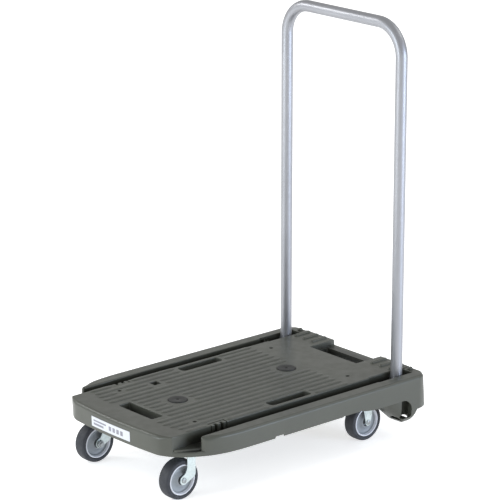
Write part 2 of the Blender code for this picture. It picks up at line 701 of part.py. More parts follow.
def make_rear_caster(side, name, materials):
    x = side * CASTER_X
    places = screw_places(side, REAR_AXLE_Y)
    holes = {"centre_x": x, "axle_y": REAR_AXLE_Y, "crown": [(*p, 0.0026) for p in places]}
    front, rear = REAR_AXLE_Y - 0.013, REAR_AXLE_Y + 0.013
    legs = leg_outline(REAR_AXLE_Y, front, rear, PLATE_TOP - 0.0004, 0.052, 330)
    crown = plate_outline(side, REAR_AXLE_Y)
    fork = make_fork(name, legs, crown, PLATE_BOTTOM, PLATE_TOP, holes, materials["zinc"])
    at = (x, REAR_AXLE_Y, PLATE_TOP)
    mount = make_pivot(f"mount_{name}", at)
    hang(fork, mount, at)
    centre = (x, REAR_AXLE_Y, WHEEL_RADIUS)
    hang(make_wheel(name, centre, mount, materials), mount, centre)
    make_screws(name, places, materials["steel"])


def main():
    clear_scene()
    materials = {
        "deck": make_material("deck_plastic", (0.125, 0.135, 0.118), 0.5),
        "cap": make_material("cap_plastic", (0.07, 0.07, 0.068), 0.5),
        "label": make_material("label_film", (0.85, 0.86, 0.88), 0.4),
        "tube": make_material("satin_aluminium", (0.62, 0.63, 0.66), 0.35, 0.9),
        "zinc": make_material("zinc_plate", (0.66, 0.70, 0.69), 0.35, 0.9),
        "steel": make_material("plain_steel", (0.45, 0.46, 0.47), 0.4, 1.0),
        "core": make_material("wheel_plastic", (0.58, 0.59, 0.63), 0.45),
        "tyre": make_material("tyre_rubber", (0.06, 0.06, 0.07), 0.8),
    }
    make_deck(materials["deck"])
    make_caps(materials["cap"])
    make_label(materials["label"])
    make_handle(materials["tube"], materials["steel"], materials["cap"])
    for side, name in ((-1, "left"), (1, "right")):
        make_clip(side, name, materials["deck"])
        make_front_caster(side, f"front_{name}", materials)
        make_rear_caster(side, f"rear_{name}", materials)


main()
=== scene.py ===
import math

import bmesh
import bpy
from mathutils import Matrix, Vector


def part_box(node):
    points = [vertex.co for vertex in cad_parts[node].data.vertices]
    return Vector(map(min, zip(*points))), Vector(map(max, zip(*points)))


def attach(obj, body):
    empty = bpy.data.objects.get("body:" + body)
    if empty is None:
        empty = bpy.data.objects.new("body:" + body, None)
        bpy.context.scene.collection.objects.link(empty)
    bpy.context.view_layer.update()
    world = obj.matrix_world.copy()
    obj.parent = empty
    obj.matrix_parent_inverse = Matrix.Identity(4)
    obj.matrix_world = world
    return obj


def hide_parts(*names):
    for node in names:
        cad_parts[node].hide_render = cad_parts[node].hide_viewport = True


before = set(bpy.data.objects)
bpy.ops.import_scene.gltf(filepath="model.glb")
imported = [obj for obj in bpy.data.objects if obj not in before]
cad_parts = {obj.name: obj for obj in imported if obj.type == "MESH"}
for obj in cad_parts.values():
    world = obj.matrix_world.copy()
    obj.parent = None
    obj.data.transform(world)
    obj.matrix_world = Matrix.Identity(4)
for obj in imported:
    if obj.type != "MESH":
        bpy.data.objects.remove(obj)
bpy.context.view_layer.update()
sideNames = {-1: "left", 1: "right"}
axisNumber = {"X": 0, "Y": 1, "Z": 2}


# small tools for shapes

def centreOf(node):
    low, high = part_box(node)
    return (Vector(low) + Vector(high)) / 2


def arcPoints(centre, radius, start, end, steps):
    # angles in degrees
    angles = [math.radians(start + (end - start) * i / steps) for i in range(steps + 1)]
    return [(centre[0] + radius * math.cos(a), centre[1] + radius * math.sin(a)) for a in angles]


def smoothPath(points, steps=6):
    # a soft curve through all the points, which stay in place
    ends = [points[0]] + list(points) + [points[-1]]
    path = []
    for a, b, c, d in zip(ends, ends[1:], ends[2:], ends[3:]):
        a, b, c, d = Vector(a), Vector(b), Vector(c), Vector(d)
        for i in range(steps):
            t = i / steps
            path.append(tuple(0.5 * (2 * b + (c - a) * t + (2 * a - 5 * b + 4 * c - d) * t * t
                                     + (3 * b - a - 3 * c + d) * t ** 3)))
    return path + [tuple(points[-1])]


def roundedRectangle(low, high, radius, steps=6):
    points = []
    for x, y, start in ((high[0], high[1], 0), (low[0], high[1], 90),
                        (low[0], low[1], 180), (high[0], low[1], 270)):
        centre = (x - math.copysign(radius, x - (low[0] + high[0]) / 2),
                  y - math.copysign(radius, y - (low[1] + high[1]) / 2))
        points += arcPoints(centre, radius, start, start + 90, steps)
    return points


def bothSides(half):
    return half + [(-x, y) for x, y in reversed(half) if x > 1e-6]


def onSide(points, side):
    return [(side * x, y) for x, y in points]


def shrunk(outline, amounts):
    # moves each point of an outline inwards by its own amount
    pairs = list(zip(outline, outline[1:] + outline[:1]))
    turn = math.copysign(1, sum(a[0] * b[1] - b[0] * a[1] for a, b in pairs))
    moved = []
    for i, here in enumerate(outline):
        first = (Vector(here) - Vector(outline[i - 1])).normalized()
        second = (Vector(outline[(i + 1) % len(outline)]) - Vector(here)).normalized()
        normal = (Vector((-first.y, first.x)) + Vector((-second.y, second.x))).normalized() * turn
        spread = max(0.5, normal.dot(Vector((-first.y, first.x))) * turn)
        moved.append(tuple(Vector(here) + normal * amounts[i] / spread))
    return moved


def loft(rings):
    # closed body through rings that have the same number of points
    bm = bmesh.new()
    loops = [[bm.verts.new(point) for point in ring] for ring in rings]
    count = len(loops[0])
    bm.faces.new(loops[0])
    bm.faces.new(loops[-1])
    for lower, upper in zip(loops, loops[1:]):
        for i in range(count):
            bm.faces.new((lower[i], lower[(i + 1) % count], upper[(i + 1) % count], upper[i]))
    return bm


def softSolid(outline, low, top, topSoft, lowSoft=0.0, steps=5):
    # upright body whose top and bottom edges are rounded; topSoft may be a function of a point
    soft = [topSoft(p) if callable(topSoft) else topSoft for p in outline]
    rings = []
    for i in range(steps + 1 if lowSoft else 1):
        turn = math.pi / 2 * i / steps
        moved = shrunk(outline, [lowSoft * (1 - math.sin(turn))] * len(outline)) if lowSoft else outline
        rings.append([(x, y, low + lowSoft * (1 - math.cos(turn))) for x, y in moved])
    for i in range(steps + 1):
        turn = math.pi / 2 * i / steps
        moved = shrunk(outline, [s * (1 - math.cos(turn)) for s in soft])
        rings.append([(x, y, top - s * (1 - math.sin(turn))) for (x, y), s in zip(moved, soft)])
    return loft(rings)


def flaredCut(outline, low, top, flare, steps=4):
    # cutter that leaves a rounded lip where it meets a top face
    rings = [[(x, y, low) for x, y in outline]]
    for i in range(steps + 1):
        turn = math.pi / 2 * i / steps
        moved = shrunk(outline, [-flare * (1 - math.cos(turn))] * len(outline))
        rings.append([(x, y, top - flare * (1 - math.sin(turn))) for x, y in moved])
    rings.append([(x, y, top + 0.02) for x, y, height in rings[-1]])
    return loft(rings)


def sideways(outline, low, high):
    # (y, z) outline made a body between two places across
    return loft([[(x, y, z) for y, z in outline] for x in (low, high)])


def upright(outline, low, high):
    return loft([[(x, y, z) for x, y in outline] for z in (low, high)])


def boxBody(low, high):
    corners = [(low[0], low[1]), (high[0], low[1]), (high[0], high[1]), (low[0], high[1])]
    return upright(corners, low[2], high[2])


def turned(profile, centre, axis="X", segments=64):
    # closed (along, radius) profile turned about an axis through centre
    bm = bmesh.new()
    number = axisNumber[axis]
    loops = []
    for along, radius in profile:
        loop = []
        for i in range(segments if radius > 1e-7 else 1):
            angle = 2 * math.pi * i / segments
            offset = [radius * math.cos(angle), radius * math.sin(angle)]
            offset.insert(number, along)
            loop.append(bm.verts.new(Vector(centre) + Vector(offset)))
        loops.append(loop)
    for first, second in zip(loops, loops[1:] + loops[:1]):
        for i in range(segments):
            corners = [first[i % len(first)], first[(i + 1) % len(first)],
                       second[(i + 1) % len(second)], second[i % len(second)]]
            corners = list(dict.fromkeys(corners))
            if len(corners) > 2:
                bm.faces.new(corners)
    return bm


def roundRod(centre, radius, low, high, axis="Z", segments=32):
    profile = [(low, 0.0), (low, radius), (high, radius), (high, 0.0)]
    flat = Vector(centre)
    flat[axisNumber[axis]] = 0.0
    return turned(profile, flat, axis, segments)


def joined(bodies):
    # several bmeshes in one
    bm = bmesh.new()
    for body in bodies:
        bmesh.ops.recalc_face_normals(body, faces=body.faces)
        mesh = bpy.data.meshes.new("part")
        body.to_mesh(mesh)
        body.free()
        bm.from_mesh(mesh)
        bpy.data.meshes.remove(mesh)
    return bm


def pieceOf(name, bm, material=None, angle=32):
    bmesh.ops.remove_doubles(bm, verts=bm.verts, dist=1e-6)
    bmesh.ops.recalc_face_normals(bm, faces=bm.faces)
    mesh = bpy.data.meshes.new(name)
    bm.to_mesh(mesh)
    bm.free()
    mesh.shade_smooth()
    mesh.set_sharp_from_angle(angle=math.radians(angle))
    piece = bpy.data.objects.new(name, mesh)
    bpy.context.collection.objects.link(piece)
    if material:
        mesh.materials.append(material)
    return piece


def settle(piece, angle=None):
    # makes the modifiers' result the piece's own mesh
    graph = bpy.context.evaluated_depsgraph_get()
    mesh = bpy.data.meshes.new_from_object(piece.evaluated_get(graph))
    piece.modifiers.clear()
    old = piece.data
    piece.data = mesh
    bpy.data.meshes.remove(old)
    mesh.name = piece.name
    if angle:
        mesh.shade_smooth()
        mesh.set_sharp_from_angle(angle=math.radians(angle))
    return piece


def shape(piece, tools, angle=32):
    # joins to or cuts from a piece, in order: ("UNION" or "DIFFERENCE", bmesh)
    helpers = []
    for operation, body in tools:
        helper = pieceOf("helper", body)
        boolean = piece.modifiers.new("shape", "BOOLEAN")
        boolean.operation = operation
        boolean.object = helper
        boolean.use_self = operation == "DIFFERENCE"
        helpers.append(helper)
    settle(piece)
    for helper in helpers:
        bpy.data.objects.remove(helper, do_unlink=True)
    bm = bmesh.new()
    bm.from_mesh(piece.data)
    bmesh.ops.remove_doubles(bm, verts=bm.verts, dist=2e-6)
    bmesh.ops.dissolve_degenerate(bm, edges=bm.edges, dist=2e-6)
    bm.to_mesh(piece.data)
    bm.free()
    piece.data.shade_smooth()
    piece.data.set_sharp_from_angle(angle=math.radians(angle))
    weigh(piece)
    return piece


def weigh(piece):
    # large flat faces keep their own normals beside small rounded ones
    modifier = piece.modifiers.new("flatness", "WEIGHTED_NORMAL")
    modifier.keep_sharp = True
    modifier.weight = 80
    return settle(piece)


def bevelled(piece, width, segments=2, angle=40):
    modifier = piece.modifiers.new("edges", "BEVEL")
    modifier.width = width
    modifier.segments = segments
    modifier.limit_method = "ANGLE"
    modifier.angle_limit = math.radians(angle)
    settle(piece, 32)
    return weigh(piece)


def finishPiece(piece, body, slot, *nodes):
    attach(piece, body)
    if nodes:
        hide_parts(*nodes)
    return piece


# small tools for node trees

def newMaterial(name, colour, roughness, metallic=0.0, **sockets):
    material = bpy.data.materials.new(name)
    material.use_nodes = True
    shader = material.node_tree.nodes["Principled BSDF"]
    shader.inputs["Base Color"].default_value = (*colour, 1.0)
    shader.inputs["Roughness"].default_value = roughness
    shader.inputs["Metallic"].default_value = metallic
    for label, value in sockets.items():
        shader.inputs[label.replace("_", " ")].default_value = value
    return material


def addNode(tree, kind, inputs=None, **settings):
    node = tree.nodes.new(kind)
    for label, value in settings.items():
        setattr(node, label, value)
    for label, value in (inputs or {}).items():
        node.inputs[label].default_value = value
    return node


def noiseOn(material, scale, detail=3.0, roughness=0.5, stretch=(1, 1, 1)):
    tree = material.node_tree
    place = addNode(tree, "ShaderNodeTexCoord")
    mapping = addNode(tree, "ShaderNodeMapping", {"Scale": stretch})
    noise = addNode(tree, "ShaderNodeTexNoise", {"Scale": scale, "Detail": detail, "Roughness": roughness})
    tree.links.new(place.outputs["Object"], mapping.inputs["Vector"])
    tree.links.new(mapping.outputs["Vector"], noise.inputs["Vector"])
    return noise.outputs["Fac"]


def rampOf(material, source, stops):
    tree = material.node_tree
    ramp = addNode(tree, "ShaderNodeValToRGB")
    while len(ramp.color_ramp.elements) < len(stops):
        ramp.color_ramp.elements.new(0.5)
    for element, (position, colour) in zip(ramp.color_ramp.elements, stops):
        element.position = position
        element.color = (*colour, 1.0)
    tree.links.new(source, ramp.inputs["Fac"])
    return ramp.outputs["Color"]


def levelOf(material, source, low, high):
    tree = material.node_tree
    level = addNode(tree, "ShaderNodeMapRange",
                    {"To Min": low, "To Max": high, "From Min": 0.3, "From Max": 0.7})
    tree.links.new(source, level.inputs["Value"])
    return level.outputs["Result"]


def intoShader(material, socket, source):
    material.node_tree.links.new(source, material.node_tree.nodes["Principled BSDF"].inputs[socket])


def spanOf(tree, source, low, high, toLow, toHigh):
    span = addNode(tree, "ShaderNodeMapRange",
                   {"From Min": low, "From Max": high, "To Min": toLow, "To Max": toHigh})
    tree.links.new(source, span.inputs["Value"])
    return span.outputs["Result"]


def timesOf(tree, first, second):
    product = addNode(tree, "ShaderNodeMath", operation="MULTIPLY")
    tree.links.new(first, product.inputs[0])
    tree.links.new(second, product.inputs[1])
    return product.outputs[0]


def paintShadeInside(material, colour, paintedShade):
    # painted shade: the channels and openings are painted darker than the open faces; deeper is darker
    tree = material.node_tree
    place = addNode(tree, "ShaderNodeTexCoord")
    parts = addNode(tree, "ShaderNodeSeparateXYZ")
    tree.links.new(place.outputs["Object"], parts.inputs["Vector"])
    across = addNode(tree, "ShaderNodeMath", operation="ABSOLUTE")
    tree.links.new(parts.outputs["X"], across.inputs[0])
    shadeMask = spanOf(tree, across.outputs[0], paintedShade["half"], paintedShade["half"] + 0.0005, 1.0, 0.0)
    limits = [("Y", paintedShade["front"], paintedShade["front"] + paintedShade["fade"], 0.0, 1.0),
              ("Y", paintedShade["rear"], paintedShade["rear"] + 0.001, 1.0, 0.0),
              ("Z", paintedShade["low"], paintedShade["low"] + 0.0002, 0.0, 1.0),
              ("Z", paintedShade["deep"], paintedShade["top"], paintedShade["shadeStrength"], 0.0)]
    for axis, *limit in limits:
        shadeMask = timesOf(tree, shadeMask, spanOf(tree, parts.outputs[axis], *limit))
    unshadedShare = addNode(tree, "ShaderNodeMath", {0: 1.0}, operation="SUBTRACT")
    tree.links.new(shadeMask, unshadedShare.inputs[1])
    shadedColour = addNode(tree, "ShaderNodeVectorMath", operation="SCALE")
    tree.links.new(colour, shadedColour.inputs[0])
    tree.links.new(unshadedShare.outputs[0], shadedColour.inputs["Scale"])
    intoShader(material, "Base Color", shadedColour.outputs[0])


def bumpFrom(material, source, strength, distance):
    tree = material.node_tree
    bump = addNode(tree, "ShaderNodeBump", {"Strength": strength, "Distance": distance})
    tree.links.new(source, bump.inputs["Height"])
    intoShader(material, "Normal", bump.outputs["Normal"])


def newGeometryTree(name, inputs):
    tree = bpy.data.node_groups.new(name, "GeometryNodeTree")
    face = tree.interface
    face.new_socket("Geometry", in_out="INPUT", socket_type="NodeSocketGeometry")
    for label, (kind, value) in inputs.items():
        socket = face.new_socket(label, in_out="INPUT", socket_type="NodeSocket" + kind)
        if value is not None:
            socket.default_value = value
    face.new_socket("Geometry", in_out="OUTPUT", socket_type="NodeSocketGeometry")
    return tree


def runTree(piece, tree, values):
    # gives the tree its values by socket identifier, then keeps the plain mesh
    modifier = piece.modifiers.new(tree.name, "NODES")
    modifier.node_group = tree
    for item in tree.interface.items_tree:
        if item.item_type == "SOCKET" and item.in_out == "INPUT" and item.name in values:
            modifier[item.identifier] = values[item.name]
    return settle(piece)


def barTree():
    # a soft raised bar along each line of the input, tapering off at its ends
    tree = newGeometryTree("raisedBars", {
        "Width": ("Float", 0.009), "Height": ("Float", 0.001), "Taper": ("Float", 0.006),
        "Step": ("Float", 0.003), "Base": ("Float", 0.129), "Finish": ("Material", None)})
    link = tree.links.new
    source = addNode(tree, "NodeGroupInput")
    out = addNode(tree, "NodeGroupOutput")
    line = addNode(tree, "GeometryNodeMeshToCurve")
    cut = addNode(tree, "GeometryNodeResampleCurve", mode="LENGTH")
    along = addNode(tree, "GeometryNodeSplineParameter")
    whole = addNode(tree, "GeometryNodeSplineLength")
    left = addNode(tree, "ShaderNodeMath", operation="SUBTRACT")
    near = addNode(tree, "ShaderNodeMath", operation="MINIMUM")
    share = addNode(tree, "ShaderNodeMath", operation="DIVIDE", use_clamp=True)
    curve = addNode(tree, "ShaderNodeMath", {1: 0.5}, operation="POWER")
    floor = addNode(tree, "ShaderNodeMath", {1: 0.05}, operation="MAXIMUM")
    ring = addNode(tree, "GeometryNodeCurvePrimitiveCircle", {"Resolution": 16})
    half = addNode(tree, "ShaderNodeMath", {1: 0.5}, operation="MULTIPLY")
    tube = addNode(tree, "GeometryNodeCurveToMesh", {"Fill Caps": True})
    ratio = addNode(tree, "ShaderNodeMath", operation="DIVIDE")
    flat = addNode(tree, "ShaderNodeCombineXYZ", {"X": 1.0, "Y": 1.0})
    lift = addNode(tree, "ShaderNodeCombineXYZ")
    squeeze = addNode(tree, "GeometryNodeTransform")
    raised = addNode(tree, "GeometryNodeTransform")
    smooth = addNode(tree, "GeometryNodeSetShadeSmooth")
    whole2 = addNode(tree, "GeometryNodeRealizeInstances")
    paint = addNode(tree, "GeometryNodeSetMaterial")
    link(source.outputs["Geometry"], line.inputs["Mesh"])
    link(line.outputs["Curve"], cut.inputs["Curve"])
    link(source.outputs["Step"], cut.inputs["Length"])
    link(whole.outputs["Length"], left.inputs[0])
    link(along.outputs["Length"], left.inputs[1])
    link(along.outputs["Length"], near.inputs[0])
    link(left.outputs[0], near.inputs[1])
    link(near.outputs[0], share.inputs[0])
    link(source.outputs["Taper"], share.inputs[1])
    link(share.outputs[0], curve.inputs[0])
    link(curve.outputs[0], floor.inputs[0])
    link(source.outputs["Width"], half.inputs[0])
    link(half.outputs[0], ring.inputs["Radius"])
    link(cut.outputs["Curve"], tube.inputs["Curve"])
    link(ring.outputs["Curve"], tube.inputs["Profile Curve"])
    link(floor.outputs[0], tube.inputs["Scale"])
    link(source.outputs["Height"], ratio.inputs[0])
    link(half.outputs[0], ratio.inputs[1])
    link(ratio.outputs[0], flat.inputs["Z"])
    link(source.outputs["Base"], lift.inputs["Z"])
    link(tube.outputs["Mesh"], squeeze.inputs["Geometry"])
    link(flat.outputs[0], squeeze.inputs["Scale"])
    link(squeeze.outputs["Geometry"], raised.inputs["Geometry"])
    link(lift.outputs[0], raised.inputs["Translation"])
    link(raised.outputs["Geometry"], smooth.inputs["Geometry"])
    link(smooth.outputs["Geometry"], whole2.inputs["Geometry"])
    link(whole2.outputs["Geometry"], paint.inputs["Geometry"])
    link(source.outputs["Finish"], paint.inputs["Material"])
    link(paint.outputs["Geometry"], out.inputs["Geometry"])
    return tree


def copyTree():
    # one copy of a piece at every point of the input
    tree = newGeometryTree("copiesOnPoints", {"Piece": ("Object", None), "Finish": ("Material", None)})
    link = tree.links.new
    source = addNode(tree, "NodeGroupInput")
    out = addNode(tree, "NodeGroupOutput")
    single = addNode(tree, "GeometryNodeObjectInfo")
    copies = addNode(tree, "GeometryNodeInstanceOnPoints")
    real = addNode(tree, "GeometryNodeRealizeInstances")
    paint = addNode(tree, "GeometryNodeSetMaterial")
    link(source.outputs["Geometry"], copies.inputs["Points"])
    link(source.outputs["Piece"], single.inputs["Object"])
    link(single.outputs["Geometry"], copies.inputs["Instance"])
    link(copies.outputs["Instances"], real.inputs["Geometry"])
    link(real.outputs["Geometry"], paint.inputs["Geometry"])
    link(source.outputs["Finish"], paint.inputs["Material"])
    link(paint.outputs["Geometry"], out.inputs["Geometry"])
    return tree


def linesPiece(name, lines):
    # loose lines, each a list of points, for a tree to follow
    bm = bmesh.new()
    for points in lines:
        verts = [bm.verts.new(point) for point in points]
        for first, second in zip(verts, verts[1:]):
            bm.edges.new((first, second))
    mesh = bpy.data.meshes.new(name)
    bm.to_mesh(mesh)
    bm.free()
    piece = bpy.data.objects.new(name, mesh)
    bpy.context.collection.objects.link(piece)
    return piece


# finishes

plasticLook = {
    "light": (0.065, 0.069, 0.055), "dark": (0.055, 0.058, 0.047), "roughness": 0.36, "grain": 1400.0,
    # painted shade: where the deck's channels and openings are painted darker, and how strongly
    "paintedShade": {"half": 0.1712, "front": -0.279, "fade": 0.045, "rear": 0.294, "low": 0.0992, "deep": 0.113,
               "top": 0.1280, "shadeStrength": 0.78},
}
capLook = {"light": (0.015, 0.0156, 0.014), "dark": (0.011, 0.0115, 0.0105), "roughness": 0.5,
           "grain": 1500.0}
coreLook = {"light": (0.28, 0.305, 0.325), "dark": (0.225, 0.245, 0.265), "roughness": 0.38, "grain": 1200.0}
# painted highlight: a lighter finish for the outer rim of each wheel core, for light caught on its lip
rimHighlightLook = {"light": (0.68, 0.70, 0.75), "dark": (0.60, 0.62, 0.67), "roughness": 0.34, "grain": 1200.0}


def mouldedPlastic(name, look):
    # fine spark-eroded grain under a slow change of tone
    material = newMaterial(name, look["light"], look["roughness"], Specular_IOR_Level=0.48)
    cloud = noiseOn(material, 9.0, 4.0)
    tone = rampOf(material, cloud, [(0.3, look["dark"]), (0.7, look["light"])])
    # painted shade: the deck finish is painted darker in its channels and openings
    if "paintedShade" in look:
        paintShadeInside(material, tone, look["paintedShade"])
    else:
        intoShader(material, "Base Color", tone)
    rough = look["roughness"]
    intoShader(material, "Roughness", levelOf(material, noiseOn(material, 60.0), rough - 0.05, rough + 0.07))
    bumpFrom(material, noiseOn(material, look["grain"], 2.0), 0.12, 0.0002)
    return material


tubeLook = {"light": (0.345, 0.35, 0.37), "dark": (0.31, 0.315, 0.335), "roughness": 0.42, "lines": 900.0}


def satinTube(name, look):
    # anodised tube: soft lines run along it, tones drift slowly
    material = newMaterial(name, look["light"], look["roughness"], 0.85)
    cloud = noiseOn(material, 14.0, 3.0)
    intoShader(material, "Base Color", rampOf(material, cloud, [(0.3, look["dark"]), (0.7, look["light"])]))
    lines = noiseOn(material, look["lines"], 2.0, 0.5, (1.0, 1.0, 0.04))
    rough = look["roughness"]
    intoShader(material, "Roughness", levelOf(material, lines, rough - 0.04, rough + 0.06))
    bumpFrom(material, lines, 0.05, 0.0001)
    return material


zincLook = {"light": (0.59, 0.65, 0.64), "dark": (0.48, 0.54, 0.53), "roughness": 0.36, "spangle": 220.0}
steelLook = {"light": (0.40, 0.42, 0.42), "dark": (0.28, 0.30, 0.31), "roughness": 0.38, "spangle": 400.0}


def platedMetal(name, look):
    material = newMaterial(name, look["light"], look["roughness"], 0.9)
    cloud = noiseOn(material, look["spangle"], 4.0, 0.6)
    intoShader(material, "Base Color", rampOf(material, cloud, [(0.32, look["dark"]), (0.68, look["light"])]))
    rough = look["roughness"]
    dull = levelOf(material, noiseOn(material, 130.0, 4.0), rough - 0.08, rough + 0.14)
    intoShader(material, "Roughness", dull)
    bumpFrom(material, noiseOn(material, 700.0, 3.0), 0.06, 0.0001)
    return material


tyreLook = {"light": (0.036, 0.039, 0.046), "dark": (0.024, 0.026, 0.032), "roughness": 0.5}


def tyreRubber(name, look):
    # dusty rubber: paler where it has rubbed
    material = newMaterial(name, look["light"], look["roughness"], Specular_IOR_Level=0.4)
    cloud = noiseOn(material, 45.0, 5.0, 0.6)
    intoShader(material, "Base Color", rampOf(material, cloud, [(0.3, look["dark"]), (0.7, look["light"])]))
    intoShader(material, "Roughness", levelOf(material, noiseOn(material, 120.0), 0.55, 0.75))
    bumpFrom(material, noiseOn(material, 900.0, 4.0), 0.15, 0.0002)
    return material


labelLook = {"film": (0.60, 0.62, 0.66), "shade": (0.55, 0.57, 0.61), "roughness": 0.4}
blockLook = {"film": (0.24, 0.24, 0.28), "shade": (0.20, 0.20, 0.24), "roughness": 0.5}


def labelFilm(name, look):
    material = newMaterial(name, look["film"], look["roughness"])
    cloud = noiseOn(material, 30.0)
    intoShader(material, "Base Color", rampOf(material, cloud, [(0.3, look["shade"]), (0.7, look["film"])]))
    bumpFrom(material, noiseOn(material, 400.0), 0.05, 0.0001)
    return material


deckPlastic = mouldedPlastic("deckPlastic", plasticLook)
capPlastic = mouldedPlastic("capPlastic", capLook)
corePlastic = mouldedPlastic("corePlastic", coreLook)
rimPlastic = mouldedPlastic("rimPlastic", rimHighlightLook)
handleMetal = satinTube("handleMetal", tubeLook)
forkZinc = platedMetal("forkZinc", zincLook)
boltSteel = platedMetal("boltSteel", steelLook)
wheelRubber = tyreRubber("wheelRubber", tyreLook)
labelWhite = labelFilm("labelWhite", labelLook)
labelGrey = labelFilm("labelGrey", blockLook)
print("finishes ready")

bars = barTree()
copies = copyTree()

# deck

deck = {
    "halfWidth": 0.195, "rear": 0.302, "nose": -0.302, "bow": 0.006, "lean": 0.0015,
    "platformHalf": 0.1445, "channelOuter": 0.168, "channelFloor": 0.105, "ledge": 0.0995, "bottom": 0.0915,
    "railTop": 0.1275, "platformTop": 0.129, "skin": 0.004, "rib": 0.003, "gripTop": 0.118, "heel": 0.0625,
    "rearShift": 0.001, "rearLean": 0.005, "wideFront": 0.198, "wide": 0.003, "wellFront": 0.244,
    "wellRear": 0.2845, "cornerRadius": 0.022, "pinHole": (0.0044, 0.0193),
    "ridgeXs": (0.085, 0.1085, 0.132, 0.1555),
    "capYs": (-0.149, 0.118), "clip": (0.134, -0.1895, -0.1545, 0.112),
    "sideSlot": (0.115, -0.039, 0.137, 0.060), "frontSlot": (-0.0485, -0.249, 0.0485, -0.222),
    "square": (-0.1065, -0.1305, -0.0895, -0.1135), "smallHoles": (0.1084, (-0.199, 0.1757)),
}


def noseLine(x):
    return deck["nose"] + deck["bow"] * (x / 0.118) ** 2


def platformOutline():
    half = deck["platformHalf"]
    front = [(x * 0.0145, noseLine(x * 0.0145)) for x in range(9)]
    turn = [(0.1240, -0.2939), (0.1310, -0.2905), (0.1375, -0.2865)]
    corner = arcPoints((half - 0.003, -0.2806), 0.003, -58, 0, 5)
    return bothSides(front + turn + corner + [(half, -0.1), (half, deck["rear"]), (0.0, deck["rear"])])


def lipOutline():
    front = [(0.0, -0.3005), (0.04, -0.2998), (0.08, -0.2977), (0.116, -0.2945), (0.131, -0.2888)]
    sweep = [(0.1445, -0.2803), (0.158, -0.2668), (0.170, -0.2495), (0.183, -0.224), (0.191, -0.195)]
    sweep += [(0.1945, -0.160), (0.195, -0.122)]
    radius = deck["cornerRadius"]
    corner = arcPoints((deck["halfWidth"] - radius, deck["rear"] - radius), radius, 0, 90, 10)
    return bothSides(smoothPath(front + sweep, 3) + corner + [(0.0, deck["rear"])])


def railOutline(side):
    inner = [(deck["platformHalf"] - 0.006, deck["rear"]), (deck["platformHalf"] - 0.006, 0.286),
             (deck["channelOuter"], 0.286), (deck["channelOuter"], 0.1), (deck["channelOuter"], -0.1)]
    nose = arcPoints((deck["channelOuter"] + 0.005, -0.232), 0.005, 180, 270, 4)
    sweep = [(0.1775, -0.2345), (0.1835, -0.223), (0.191, -0.195), (0.1945, -0.160), (0.195, -0.122)]
    radius = deck["cornerRadius"]
    corner = arcPoints((deck["halfWidth"] - radius, deck["rear"] - radius), radius, 0, 90, 10)
    return onSide(inner + nose + smoothPath(sweep, 4) + corner, side)


def floorOutline(side):
    inner, outer = deck["platformHalf"] - 0.004, deck["channelOuter"] + 0.002
    return onSide([(inner, -0.277), (0.1465, -0.2775), (0.1535, -0.268), (outer, -0.236), (outer, 0.290),
                   (inner, 0.290)], side)


shelf = {"wide": 0.0024, "top": 0.1008, "soft": 0.0009}


def shelfRim(side):
    # thin raised edge of the shelf between the nose and the rail
    path = smoothPath([(0.1440, -0.2802), (0.1580, -0.2662), (0.1698, -0.2489), (0.1775, -0.2350)], 5)
    inner = []
    for i, here in enumerate(path):
        along = Vector(path[min(i + 1, len(path) - 1)]) - Vector(path[max(i - 1, 0)])
        inner.append(tuple(Vector(here) + Vector((-along.y, along.x)).normalized() * shelf["wide"]))
    return softSolid(onSide(path + inner[::-1], side), deck["ledge"] - 0.003, shelf["top"], shelf["soft"])


def ease(value, low, high):
    share = min(1.0, max(0.0, (value - low) / (high - low)))
    return share * share * (3 - 2 * share)


def platformBody():
    # the nose rolls over softly, the long edges are crisper, and the front leans back towards its foot
    def softness(point):
        return 0.0018 + 0.0052 * ease(-point[1], 0.2815, 0.2945)
    bm = softSolid(platformOutline(), deck["bottom"], deck["platformTop"], softness, 0.0015)
    tall = deck["platformTop"] - 0.007 - deck["bottom"]
    for vert in bm.verts:
        if vert.co.y < -0.22:
            share = 1 - min(1.0, (vert.co.z - deck["bottom"]) / tall)
            vert.co.y += deck["lean"] * share * ease(-vert.co.y, 0.24, 0.285)
    return bm


def railBody(side):
    def softness(point):
        x, y = abs(point[0]), point[1]
        outer = ease(x, 0.172, 0.184)
        return 0.0015 + 0.0045 * outer + 0.0042 * ease(-y, 0.205, 0.229) * (0.55 + 0.45 * outer)
    return softSolid(railOutline(side), deck["bottom"] + 0.002, deck["railTop"], softness)


def skirtSide():
    arch = arcPoints((0.2385, 0.063), 0.0238, 90, 0, 16)
    heel = [(0.272, deck["heel"]), (0.280, deck["heel"]), (0.280, 0.110), (0.120, 0.110)]
    front = [(0.120, 0.099), (0.1275, 0.0952), (0.137, 0.0914), (0.152, 0.0887), (0.172, 0.0868)]
    return smoothPath(front, 3) + arch + heel


foot = {"inner": 0.144, "middle": 0.250, "round": 0.018, "outer": 0.187}
footSides = [(0.034, 0.2570, 0.2600), (0.0346, 0.2545, 0.2630), (0.0374, 0.2504, 0.2668),
             (0.0410, 0.2464, 0.2700), (0.0460, 0.2407, 0.2745), (0.0525, 0.2334, 0.2795),
             (0.0585, 0.2266, 0.2840), (0.0625, 0.2221, 0.2880),
             (0.0714, 0.2120, 0.2910), (0.0822, 0.2011, 0.2910), (0.0988, 0.1843, 0.2910)]


def footBody(side):
    # level cuts through the foot, each (height, front, rear): broad round outer corner, round bottom
    rings = []
    for z, front, rear in footSides:
        drop = max(0.0, 0.052 - z) / foot["round"]
        outer = foot["outer"] - 0.020 * (1 - math.sqrt(max(0.0, 1 - drop * drop)))
        middle = max(foot["middle"], front + 0.0015)
        bend = arcPoints((0.0, 0.0), 1.0, -90, 0, 14)
        inner = foot["inner"]
        points = [(inner + (outer - inner) * u, middle + (middle - front) * v) for u, v in bend]
        rings.append([(side * x, y, z) for x, y in points + [(outer, rear), (inner, rear)]])
    return loft(rings)


